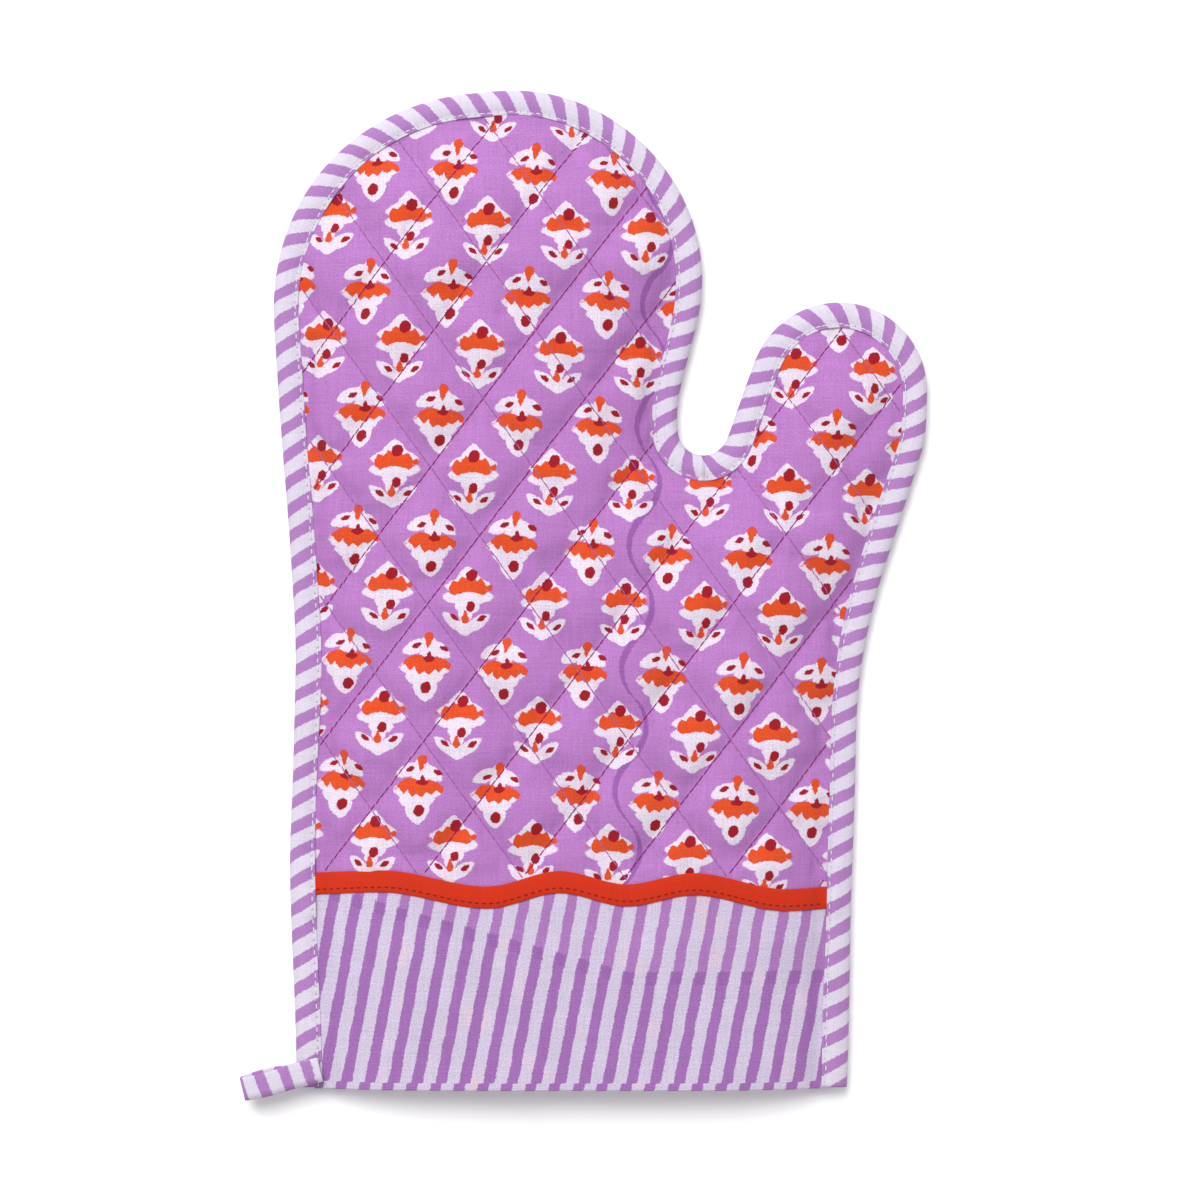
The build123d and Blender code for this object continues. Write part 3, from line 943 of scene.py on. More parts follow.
def drop_on(tree, xy, from_above=True):
    """Where points (x, y) meet a surface from above or from below, and its normals there."""
    places, normals = [], []
    height = 0.1 if from_above else -0.1
    for x, y in xy:
        hit, normal, _, _ = tree.ray_cast(Vector((x, y, height)), Vector((0, 0, -height)))
        places.append(hit)
        normals.append(normal if normal.z * height > 0 else -normal)
    return np.array(places), np.array(normals)


# %% [markdown]
# The quilting is one thread drawn in two materials: darker on the rows that rise to the right, as painted
# shade in their grooves, and lighter on the falling rows, as painted light. Its stitches lie on the same
# rows that the grid of cloth was laid along, a little uneven in place and heading, and each is dropped on
# the finished surface, so it sits in the groove that it makes.

# %% Quilting stitches
STITCH_PITCH = 2.55 * mm
QUILT_THREAD = 0.2 * mm             # half its thickness
QUILT_STITCH = 3.0 * mm


def quilting_rows(inset):
    """Places and headings of the stitches of both sets of rows, and which set each is in."""
    xy, headings, sets = [], [], []
    row_sets = [(RISING, RISING_START, RISING_PITCH), (-FALLING, FALLING_START, FALLING_PITCH)]
    for number, (angle, start, pitch) in enumerate(row_sets):
        heading = np.array([math.cos(angle), math.sin(angle)])
        for row in range(-12, 14):
            cross = np.array([wrist_x, start + row * pitch])
            marks = np.arange(-150, 150) * STITCH_PITCH + rng.uniform(0, STITCH_PITCH)
            points = cross + marks[:, None] * heading
            points += rng.normal(0, 0.05 * mm, points.shape)
            clear = (depth_inside(points) > inset)
            clear &= points[:, 1] > hem_y + trim_middle(points[:, 0]) + TRIM_WIDTH / 2 + 0.9 * mm
            xy.append(points[clear])
            headings.append(np.tile(heading, (clear.sum(), 1)) + rng.normal(0, 0.04, (clear.sum(), 2)))
            sets.append(np.full(clear.sum(), number))
    return np.concatenate(xy), np.concatenate(headings), np.concatenate(sets)


def on_thumb(xy):
    """True for points on the thumb's side of the quilting row that runs from the notch to the heel."""
    line = xy[:, 1] + math.tan(FALLING) * (xy[:, 0] - notch_x)
    return (line > notch_y - 2 * mm) & (xy[:, 0] > notch_x - 3.4 * mm)


def quilting(side, tree, replaced):
    """The quilting stitches of one side, for the hand and for the thumb."""
    xy, headings, sets = quilting_rows(BINDING_WIDTH + 0.7 * mm)
    places, normals = drop_on(tree, xy, side == "palm")
    headings = np.concatenate([headings, np.zeros((len(headings), 1))], axis=1)
    thumb = on_thumb(xy)
    made = {}
    for part, chosen in (("hand", ~thumb), ("thumb", thumb)):
        piece = sew(f"{part}_{side}_quilting", places[chosen] + normals[chosen] * QUILT_THREAD * 0.5,
                    headings[chosen], normals[chosen], QUILT_STITCH, QUILT_THREAD, sets[chosen])
        bend(piece, part)
        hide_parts(*[f"{replaced}_{end}" for end in PART_ENDS[part]])
        made[part] = piece
    return made


palm_quilting = quilting("palm", front_tree, "front_quilting")
back_quilting = quilting("back", back_tree, "back_quilting")

# %% [markdown]
# The binding and the trim are topstitched near their inner and lower edges. The stitches are dropped on
# the finished tapes rather than on a formula, so they follow each pucker and rise over the cuff's trim.

# %% Stitches of the binding and the trim
TOPSTITCH_INSET = 7.4 * mm
TRIM_SEAM_RISE = 1.75 * mm          # the trim's stitching, above its lower edge
SEAM_THREAD = 0.21 * mm             # half its thickness


def surface_of(piece):
    """A tree of a finished piece's faces, to lay stitches on."""
    points = [vertex.co for vertex in piece.data.vertices]
    return BVHTree.FromPolygons(points, [list(face.vertices) for face in piece.data.polygons])


def topstitch(name, first, last, tree, part, replaced):
    """The row of stitches that holds the binding's inner edge."""
    marks = np.arange(first * RIM_STEP + 1 * mm, last * RIM_STEP - 0.5 * mm, STITCH_PITCH)
    steps = marks / RIM_STEP
    edge, inward, along = (np.stack([np.interp(steps, np.arange(len(line)), axis) for axis in line.T], axis=1)
                           for line in (edge_line, edge_inward, edge_along))
    insets = TOPSTITCH_INSET + rng.normal(0, 0.08 * mm, len(marks))
    headings = np.concatenate([along, np.zeros((len(marks), 1))], axis=1)
    places, normals = drop_on(tree, edge + inward * insets[:, None])
    piece = sew(name, places + normals * SEAM_THREAD * 0.3, headings, normals, 2.0 * mm, SEAM_THREAD)
    bend(piece, part)
    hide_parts(*replaced)
    return piece


hand_topstitch = topstitch("hand_topstitch", 0, notch_step, surface_of(hand_binding), "hand",
                           ["binding_topstitch_side", "binding_topstitch_fingers", "binding_topstitch_notch"])
thumb_topstitch = topstitch("thumb_topstitch", notch_step, len(edge_line) - 1,
                            surface_of(thumb_binding), "thumb",
                            ["binding_topstitch_thumb", "binding_topstitch_heel"])


def trim_seam(x):
    """Height of the trim's stitching."""
    return hem_y + trim_middle(x) - TRIM_WIDTH / 2 + TRIM_SEAM_RISE


trim_x = np.arange(*side_limits(hem_y + 64 * mm, BINDING_WIDTH + 0.8 * mm), 2.3 * mm)
trim_places, trim_normals = drop_on(surface_of(palm_trim), np.stack([trim_x, trim_seam(trim_x)], axis=1))
climb = trim_seam(trim_x + 1 * mm) - trim_seam(trim_x)
trim_headings = np.stack([np.full_like(trim_x, 1 * mm), climb, 0 * trim_x], axis=1)
trim_stitch = sew("trim_stitching", trim_places + trim_normals * SEAM_THREAD * 0.2, trim_headings,
                  trim_normals, 1.75 * mm, SEAM_THREAD)
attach(trim_stitch, "palm")
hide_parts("trim_stitch")

# %% [markdown]
# The hanging loop is a short piece of the same folded tape. Its two ends lie one on the other over the
# corner of the binding, held by two tacks, and the rest stands out as an open eye to hang on a hook.

# %% The hanging loop
LOOP_WIDTH = 8.2 * mm
LOOP_TAPE = 1.1 * mm                # the tape folded once
LOOP_LENGTH = 18 * mm
TAIL_LENGTH = 9 * mm
LOOP_STEP = 0.5 * mm
loop_seam = np.array(joints["loop_swing"]["pos_m"])
hinge_x, hinge_y, _ = joints["loop_swing"]["axis"]
loop_out = np.array([-hinge_y, hinge_x]) / math.hypot(hinge_x, hinge_y)
loop_low, loop_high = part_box("hanging_loop")
tail_low, tail_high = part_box("loop_tail")
eye_top = loop_high.z - LOOP_TAPE / 2
eye_foot = loop_low.z + LOOP_TAPE / 2
eye_round = (eye_top - eye_foot) / 2
eye_far = LOOP_LENGTH - eye_round - LOOP_TAPE / 2


def loop_line():
    """The tape's middle line from one sewn end round the eye to the other, as (out, up) from the seam."""
    over, under = tail_high.z - LOOP_TAPE / 2, tail_low.z + LOOP_TAPE / 2
    line = [(-TAIL_LENGTH, over), (0.3 * mm, over), (eye_far - 7 * mm, eye_top), (eye_far, eye_top)]
    for angle in np.linspace(80, -80, 9):
        turn = math.radians(angle)
        middle = (eye_top + eye_foot) / 2
        line.append((eye_far + eye_round * math.cos(turn), middle + eye_round * math.sin(turn)))
    line += [(eye_far, eye_foot), (eye_far - 7 * mm, eye_foot), (0.5 * mm, under), (-TAIL_LENGTH, under)]
    return rounded(evenly(np.array(line), LOOP_STEP), 2.0)


LOOP_SECTION = [                    # shares of half the width and of half the thickness
    (1, 0.12), (1, 1), (0.4, 0.95), (-0.4, 0.95), (-0.86, 1), (-0.97, 0.7), (-1, 0), (-0.97, -0.7),
    (-0.86, -1), (-0.4, -0.95), (0.4, -0.95), (1, -1), (1, -0.12), (0, -0.1), (-0.86, -0.1), (-0.86, 0.1),
    (0, 0.1)]


def make_loop():
    """The loop's tape, with a soft-edged section swept along its line."""
    line = loop_line()
    ahead = np.gradient(line, axis=0)
    ahead /= np.linalg.norm(ahead, axis=1)[:, None]
    side = np.array([-loop_out[1], loop_out[0]])
    section = np.array(LOOP_SECTION)
    points, flat = [], []
    for step, ((out, up), (d_out, d_up)) in enumerate(zip(line, ahead)):
        slack = smooth_step(out, 1 * mm, 8 * mm)
        wide = LOOP_WIDTH / 2 * (1 - 0.05 * slack)
        shift = 0.5 * mm * slack * math.sin(step * 0.5 / 9)
        thick = section[:, 1] * (LOOP_TAPE / 2 - 0.03 * mm)
        across = section[:, 0] * wide + shift
        outs = out - d_up * thick
        ups = up + d_out * thick
        place = loop_seam[:2] + outs[:, None] * loop_out + across[:, None] * side
        points.append(np.concatenate([place, ups[:, None]], axis=1))
        flat.append(np.stack([np.full(len(section), step * LOOP_STEP), across], axis=1))
    count = len(line)
    piece = add_piece("hanging_loop_tape", np.array(points).reshape(-1, 3), swept_faces(count, len(section)),
                      np.array(flat).reshape(-1, 2))
    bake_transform(piece)
    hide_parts("hanging_loop", "loop_tail")
    return piece


loop_tape = make_loop()
side_way = np.array([-loop_out[1], loop_out[0], 0])
tack_places = [loop_seam[:2] - loop_out * TAIL_LENGTH * share + side_way[:2] * sideways
               for share in (0.25, 0.75) for sideways in (-2.3 * mm, 0, 2.3 * mm)]
tack_on, tack_normals = drop_on(surface_of(loop_tape), np.array(tack_places))
tack_stitches = sew("loop_tacks", tack_on, np.tile(side_way, (len(tack_on), 1)), tack_normals,
                    1.9 * mm, SEAM_THREAD)
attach(tack_stitches, "palm")
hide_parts("loop_tack_stitches")

# %% [markdown]
# Every finish here is cotton: printed, striped, dyed or spun. What they share is built once as node
# groups: the weave, the slow unevenness of dye, the twist of a thread, and the shape of one printed
# petal. Sums of noise and distance are long to write as single nodes, so a small helper lets a wire of
# the node tree be added and multiplied like a number.

# %% Helpers that write node trees
class Wire:
    """A value in a node tree. It can be added, multiplied and compared like a number."""

    def __init__(self, tree, socket):
        self.tree, self.socket = tree, socket

    def math(self, operation, *others):
        node = self.tree.nodes.new("ShaderNodeMath")
        node.operation = operation
        for place, value in enumerate((self, *others)):
            put(self.tree, node.inputs[place], value)
        return Wire(self.tree, node.outputs[0])

    def __add__(self, other):
        return self.math("ADD", other)

    def __sub__(self, other):
        return self.math("SUBTRACT", other)

    def __mul__(self, other):
        return self.math("MULTIPLY", other)

    def __truediv__(self, other):
        return self.math("DIVIDE", other)

    def ramp(self, low, high):
        """0 at low, 1 at high, with a soft step between."""
        node = self.tree.nodes.new("ShaderNodeMapRange")
        node.interpolation_type = "SMOOTHSTEP"
        for place, value in zip(("Value", "From Min", "From Max"), (self, low, high)):
            put(self.tree, node.inputs[place], value)
        return Wire(self.tree, node.outputs["Result"])


def put(tree, socket, value):
    """Gives a socket a wire, a number or a colour."""
    if isinstance(value, Wire):
        tree.links.new(value.socket, socket)
    else:
        socket.default_value = value


def place_node(tree, kind, output, settings=None, **inputs):
    """A node of a kind, its inputs set by name, given back as the wire of one output."""
    node = tree.nodes.new(kind)
    for name, value in (settings or {}).items():
        setattr(node, name, value)
    for name, value in inputs.items():
        put(tree, node.inputs[name.replace("_", " ")], value)
    return Wire(tree, node.outputs[output])


def split(vector):
    """The X and Y of a vector wire."""
    node = vector.tree.nodes.new("ShaderNodeSeparateXYZ")
    put(vector.tree, node.inputs[0], vector)
    return Wire(vector.tree, node.outputs[0]), Wire(vector.tree, node.outputs[1])


def join(tree, x, y, z=0.0):
    """A vector wire made of its parts."""
    node = tree.nodes.new("ShaderNodeCombineXYZ")
    for place, value in enumerate((x, y, z)):
        put(tree, node.inputs[place], value)
    return Wire(tree, node.outputs[0])


def add_vector(vector, other):
    """The sum of two vectors."""
    node = vector.tree.nodes.new("ShaderNodeVectorMath")
    node.operation = "ADD"
    put(vector.tree, node.inputs[0], vector)
    put(vector.tree, node.inputs[1], other)
    return Wire(vector.tree, node.outputs[0])


def scaled(vector, scale):
    """A vector or a colour made larger or brighter by a scale."""
    return place_node(vector.tree, "ShaderNodeVectorMath", "Vector", {"operation": "SCALE"}, Vector=vector,
                      Scale=scale)


def noise(tree, vector, scale, detail=2.0, roughness=0.5, output="Fac"):
    """Soft noise about 0.5."""
    return place_node(tree, "ShaderNodeTexNoise", output, Vector=vector, Scale=scale, Detail=detail,
                      Roughness=roughness)


def mix(tree, share, first, second):
    """The second colour laid over the first by a share."""
    node = tree.nodes.new("ShaderNodeMix")
    node.data_type = "RGBA"
    put(tree, node.inputs[0], share)
    put(tree, node.inputs[6], first)
    put(tree, node.inputs[7], second)
    return Wire(tree, node.outputs[2])


def new_group(name, inputs, outputs):
    """A shader node group with named sockets, its inputs as wires, and a function that fills its outputs."""
    tree = bpy.data.node_groups.new(name, "ShaderNodeTree")
    for socket_name, kind, value in inputs:
        socket = tree.interface.new_socket(name=socket_name, in_out="INPUT", socket_type=kind)
        if value is not None:
            socket.default_value = value
    for socket_name, kind in outputs:
        tree.interface.new_socket(name=socket_name, in_out="OUTPUT", socket_type=kind)
    given = tree.nodes.new("NodeGroupInput")
    taken = tree.nodes.new("NodeGroupOutput")
    wires = {socket_name: Wire(tree, given.outputs[socket_name]) for socket_name, _, _ in inputs}

    def give(**values):
        for socket_name, value in values.items():
            put(tree, taken.inputs[socket_name.replace("_", " ")], value)

    return tree, wires, give


def use_group(tree, group, **inputs):
    """A copy of a group placed in a tree, with its outputs as wires by name."""
    node = tree.nodes.new("ShaderNodeGroup")
    node.node_tree = group
    for name, value in inputs.items():
        put(tree, node.inputs[name.replace("_", " ")], value)
    return {socket.name: Wire(tree, socket) for socket in node.outputs}


FLOAT, VECTOR, COLOUR = "NodeSocketFloat", "NodeSocketVector", "NodeSocketColor"
LIGHT_LEVEL = 1.31                  # how much brighter than a plain white the light makes the cloth


def dye(red, green, blue):
    """A colour given as it looks on a screen, from 0 to 255, turned into the share of light it reflects."""
    shares = [c / 255 for c in (red, green, blue)]
    linear = [c / 12.92 if c <= 0.04045 else ((c + 0.055) / 1.055) ** 2.4 for c in shares]
    return tuple(c / LIGHT_LEVEL for c in linear) + (1.0,)


# %% [markdown]
# Plain weave is warp and weft passing over and under each other. No two spun threads are equally
# thick, so besides the small bumps the group gives a tone that changes from thread to thread and runs
# far along each one. That streakiness, both ways at once, is what makes cotton look like cotton.

# %% Group: the weave
def make_weave():
    tree, given, give = new_group(
        "cotton weave", [("Cloth", VECTOR, None), ("Thread", FLOAT, 0.45)],
        [("Height", FLOAT), ("Tone", FLOAT), ("Fuzz", FLOAT)])
    x, y = split(given["Cloth"])
    x, y = x / given["Thread"], y / given["Thread"]
    wander = noise(tree, join(tree, x * 0.06, y * 0.06), 1.0, 1.0) * 1.4
    bumps = ((x + wander) * math.pi).math("SINE") * ((y + wander) * math.pi).math("SINE")
    warp = noise(tree, join(tree, x * 0.8, y * 0.035), 1.0, 2.0, 0.6)
    weft = noise(tree, join(tree, x * 0.03, y * 0.8, 5.0), 1.0, 2.0, 0.6)
    tone = (warp + weft) * 0.5
    fuzz = noise(tree, join(tree, x * 0.9, y * 0.9, 9.0), 1.0, 2.0, 0.7)
    give(Height=bumps * 0.5 + tone + fuzz * 0.3, Tone=tone, Fuzz=fuzz)
    return tree


weave_group = make_weave()

# %% [markdown]
# Colour on washed cotton is never even: dye takes in soft patches, and fine specks of bare fibre show.
# This group turns any colour into that, lighter and darker by a given amount.

# %% Group: uneven dye
def make_uneven_dye():
    tree, given, give = new_group(
        "uneven dye",
        [("Cloth", VECTOR, None), ("Colour", COLOUR, (0.5, 0.5, 0.5, 1)), ("Tone", FLOAT, 0.5),
         ("Fuzz", FLOAT, 0.5), ("Patches", FLOAT, 0.1), ("Threads", FLOAT, 0.3), ("Specks", FLOAT, 0.1)],
        [("Colour", COLOUR), ("Roughness", FLOAT)])
    cloth = given["Cloth"]
    wide = noise(tree, cloth, 0.055, 3.0, 0.55)
    patchy = (wide - 0.5) * given["Patches"] * 2.0
    thready = (given["Tone"] - 0.5) * given["Threads"] * 2.0
    speckled = (given["Fuzz"] - 0.5) * given["Specks"] * 2.0
    level = patchy + thready + speckled + 1.0
    give(Colour=scaled(given["Colour"], level), Roughness=given["Fuzz"] * 0.16 + 0.78)
    return tree


dye_group = make_uneven_dye()

# %% [markdown]
# The stripes of the band and the tape are printed too, by a comb of bars, so their edges waver with
# the threads. The group gives a mask that is 1 on a purple bar.

# %% Group: printed stripes
def make_stripes():
    tree, given, give = new_group(
        "printed stripes",
        [("Cloth", VECTOR, None), ("Turn", FLOAT, 0.0), ("Pitch", FLOAT, 8.0), ("Share", FLOAT, 0.45),
         ("Start", FLOAT, 0.0)], [("Bar", FLOAT)])
    x, y = split(given["Cloth"])
    across = x * given["Turn"].math("COSINE") - y * given["Turn"].math("SINE")
    ragged = (noise(tree, given["Cloth"], 1.3, 3.0, 0.7) - 0.5) * 1.25
    bowed = (noise(tree, given["Cloth"], 0.12, 2.0) - 0.5) * 1.3
    place = ((across + ragged + bowed + given["Start"]) / given["Pitch"]).math("FRACT")
    from_middle = (place - 0.5).math("ABSOLUTE") * given["Pitch"]
    edge = given["Share"] * given["Pitch"] * 0.5
    give(Bar=(from_middle - edge).ramp(0.16, -0.16))
    return tree


stripes_group = make_stripes()

# %% [markdown]
# One printed petal is a patch of ink, round or drawn out to a point at its ends. The group measures how
# deep inside it a place on the cloth lies, in millimetres, so petals joined by the larger depth make one
# smooth shape with one edge.

# %% Group: one petal of ink
def make_petal():
    tree, given, give = new_group(
        "ink petal",
        [("Place", VECTOR, None), ("X", FLOAT, 0.0), ("Y", FLOAT, 0.0), ("Long", FLOAT, 1.0),
         ("Wide", FLOAT, 1.0), ("Turn", FLOAT, 0.0), ("Roundness", FLOAT, 2.0)], [("Depth", FLOAT)])
    x, y = split(given["Place"])
    x, y = x - given["X"], y - given["Y"]
    cosine, sine = given["Turn"].math("COSINE"), given["Turn"].math("SINE")
    along = ((x * cosine + y * sine) / given["Long"]).math("ABSOLUTE")
    across = ((y * cosine - x * sine) / given["Wide"]).math("ABSOLUTE")
    power = given["Roundness"]
    total = along.math("POWER", power) + across.math("POWER", power)
    reach = total.math("POWER", power.math("POWER", -1.0))
    give(Depth=(reach * -1.0 + 1.0) * given["Wide"])
    return tree


petal_group = make_petal()

# %% [markdown]
# The block-printed sprig has three printings: the cloth left bare for the flower, then orange, then
# red. Each is a handful of petals, given as x, y, half length, half width, turn in degrees and
# roundness (2 is an ellipse, 1 a diamond), in millimetres from the sprig's middle. The orange has a
# toothed edge on one side, and under the hanging sprig's orange an arch of bare cloth is cut away.
# A hanging sprig stands between the standing ones in every other row.

# %% The sprigs' petals
STANDING = {
    "bare": [(-3.0, 6.2, 4.5, 2.2, 22, 1.7), (4.5, 5.4, 4.3, 2.2, -36, 1.7), (1.3, 7.2, 3.1, 2.7, 90, 1.5),
             (1.0, 3.6, 2.7, 2.4, 0, 2), (-0.1, -0.5, 8.1, 3.6, -3, 1.6), (-0.2, -3.2, 5.9, 3.6, 0, 1.6),
             (0.1, -6.3, 5.0, 3.9, 90, 1.5)],
    "orange": [(1.6, 9.3, 1.65, 1.5, 80, 2), (1.35, 7.7, 2.1, 0.9, 84, 1.3), (-3.3, 1.2, 3.9, 2.1, 16, 1.7),
               (4.4, 0.6, 4.1, 2.0, -14, 1.7), (0.5, -0.5, 4.9, 2.0, 0, 1.8)],
    "cut": [],
    "red": [(-2.3, 6.2, 1.6, 0.85, 22, 1.6), (6.5, 5.2, 1.6, 0.9, -30, 1.6), (1.6, 1.9, 2.0, 1.1, 0, 1.5),
            (1.7, 3.0, 1.3, 0.8, 90, 1.4), (0.5, -7.2, 2.0, 1.65, 65, 2)],
    "teeth": -1.0,
}
HANGING = {
    "bare": [(0.4, 4.4, 6.6, 5.3, 90, 1.25), (0.3, 4.4, 7.6, 3.6, 0, 1.4), (0.4, 0.9, 8.1, 2.7, 0, 1.8),
             (0.3, -2.0, 3.9, 2.8, 0, 1.8), (-0.4, -4.6, 2.2, 2.6, 0, 2), (-4.3, -7.2, 4.6, 1.9, -40, 1.6),
             (3.5, -7.4, 4.7, 2.0, 36, 1.6), (-0.5, -8.9, 3.2, 2.7, 0, 1.5)],
    "orange": [(0.4, 3.4, 7.4, 3.6, 0, 1.5), (0.6, 4.8, 4.3, 2.0, 0, 1.7), (-0.5, -6.5, 1.3, 1.2, 90, 2),
               (-0.4, -5.3, 1.9, 0.75, 90, 1.3)],
    "cut": [(0.4, -1.5, 6.7, 3.5, 0, 1.9)],
    "red": [(1.4, 7.2, 2.1, 1.8, 60, 2), (1.1, -2.9, 1.75, 1.4, 75, 2), (-4.2, -6.3, 1.65, 0.85, -35, 1.6),
            (4.6, -6.6, 1.65, 0.85, 32, 1.6)],
    "teeth": 1.0,
}
SPRIG_ACROSS = (25.84, -1.62)       # from one sprig to the next in a row
SPRIG_DOWN = (-2.34, -40.66)        # and to the next row
SPRIG_START = (-39.2, 302.3)        # a standing sprig, from the middle of the cuff and the hem
HANGING_SHIFT = (-14.5, -17.5)      # from a standing sprig to the hanging one beside it


def sprig_places(tree, cloth, start, salt):
    """The place on the cloth measured from the nearest sprig of a lattice, and random values for it."""
    (ax, ay), (bx, by) = SPRIG_ACROSS, SPRIG_DOWN
    whole = ax * by - ay * bx
    x, y = split(cloth)
    x, y = x - start[0], y - start[1]
    column = ((x * by - y * bx) / whole).math("ROUND")
    row = ((y * ax - x * ay) / whole).math("ROUND")
    chance = place_node(tree, "ShaderNodeTexWhiteNoise", "Color", {"noise_dimensions": "3D"},
                        Vector=join(tree, column, row, salt))
    chance_x, chance_y = split(chance)
    x = x - column * ax - row * bx + (chance_x - 0.5) * 0.9
    y = y - column * ay - row * by + (chance_y - 0.5) * 0.9
    return join(tree, x, y), chance_x, chance_y


def ink(tree, place, petals):
    """How deep inside one printing's petals a place lies."""
    depth = None
    for x, y, long, wide, turn, roundness in petals:
        one = use_group(tree, petal_group, Place=place, X=x, Y=y, Long=long, Wide=wide,
                        Turn=math.radians(turn), Roundness=roundness)["Depth"]
        depth = one if depth is None else depth.math("MAXIMUM", one)
    return depth

# %% [markdown]
# The purple ground is printed with a large block, and two settings of it overlap along a wavy edge.
# There the ink is twice as thick, which leaves a darker line down the mitt, wide where the edge runs
# one way and thin where it runs the other.

# %% The ground's wavy seam, and what every cotton shares
WAVE_LENGTH = 40.2
WAVE_SWING = 4.6
WAVE_MIDDLE = (23.4, 200.0)
WAVE_LEAN = 0.0535


def flat_in_mm(tree):
    """Where in a piece's flat cloth a point lies, in millimetres."""
    return scaled(place_node(tree, "ShaderNodeUVMap", "UV", {"uv_map": "cloth"}), 1 / mm)


def cloth_in_mm(tree):
    """The same, measured from the middle of the cuff at the hem."""
    return add_vector(flat_in_mm(tree), (-wrist_x / mm, -hem_y / mm, 0))


def block_edge(x, y, aside, along):
    """How far past the wavy edge of a printing block a place lies."""
    phase = (y - WAVE_MIDDLE[1] - along) * (2 * math.pi / WAVE_LENGTH)
    wave = phase.math("COSINE")
    sharper = wave.math("ABSOLUTE").math("POWER", 0.85) * wave.math("SIGN")
    middle = (y - WAVE_MIDDLE[1]) * WAVE_LEAN + WAVE_MIDDLE[0] + aside
    return x - middle - sharper * WAVE_SWING


def new_material(name, roughness=0.85, sheen=0.12):
    """A material whose shader has cotton's fixed values, and its tree."""
    material = bpy.data.materials.new(name)
    material.use_nodes = True
    shader = material.node_tree.nodes["Principled BSDF"]
    shader.inputs["Roughness"].default_value = roughness
    shader.inputs["Specular IOR Level"].default_value = 0.25
    shader.inputs["Sheen Weight"].default_value = sheen
    shader.inputs["Sheen Roughness"].default_value = 0.45
    return material, material.node_tree, shader


def bumped(tree, shader, height, distance):
    """Feeds a height, in shares of distance, to the shader's normal."""
    normal = place_node(tree, "ShaderNodeBump", "Normal", Height=height, Distance=distance, Strength=1.0)
    put(tree, shader.inputs["Normal"], normal)


def dyed_cotton(tree, shader, cloth, weave, colour, patches, threads, specks, bump=0.09 * mm):
    """The end that every cotton shares: its colour made uneven, its roughness, and the bumps of its weave."""
    dyed = use_group(tree, dye_group, Cloth=cloth, Colour=colour, Tone=weave["Tone"], Fuzz=weave["Fuzz"],
                     Patches=patches, Threads=threads, Specks=specks)
    put(tree, shader.inputs["Base Color"], dyed["Colour"])
    put(tree, shader.inputs["Roughness"], dyed["Roughness"])
    bumped(tree, shader, weave["Height"], bump)


# %% [markdown]
# The three printings are cut from separate blocks, so each falls a little off from the others: the red
# twice as far as the orange. Teeth are a zigzag added to the orange's depth along one of its sides.

# %% The printings' masks
TOOTH_PITCH = 3.1
TOOTH_DEPTH = 2.2


def printings(tree, ragged):
    """How deep inside the bare, the orange and the red printing a place on the cloth lies."""
    hanging_start = tuple(place + shift for place, shift in zip(SPRIG_START, HANGING_SHIFT))
    masks = {}
    for sprig, start, salt in ((STANDING, SPRIG_START, 1.0), (HANGING, hanging_start, 2.0)):
        place, chance_x, chance_y = sprig_places(tree, ragged, start, salt)
        slip = join(tree, (chance_y - 0.5) * 0.7, (chance_x - 0.5) * 0.7)
        for printing in ("bare", "orange", "red"):
            where = place if printing == "bare" else add_vector(place, slip)
            if printing == "red":
                where = add_vector(where, slip)
            depth = ink(tree, where, sprig[printing])
            if printing == "orange":
                across, up = split(where)
                tooth = (across / TOOTH_PITCH).math("PINGPONG", 0.5) - 0.3
                side = (up - 2.4) * sprig["teeth"] if sprig["teeth"] > 0 else up * -1.0 + 0.6
                depth = depth + tooth * side.ramp(-0.6, 0.6) * TOOTH_DEPTH
                for petal in sprig["cut"]:
                    cut = ink(tree, where, [petal]) * -1.0
                    drop = (up + 3.9).ramp(0.2, -0.2) * 4.0
                    depth = depth.math("MINIMUM", cut + drop)
            masks[printing] = masks[printing].math("MAXIMUM", depth) if printing in masks else depth
    return masks


# %% [markdown]
# The colours are then laid one over another in the order of printing: purple with its darker seam, the
# bare cloth, orange with a redder rim where the ink gathers, and red.

# %% Material: printed cotton
PRINT_WEAVE = 0.46                  # from thread to thread, in mm


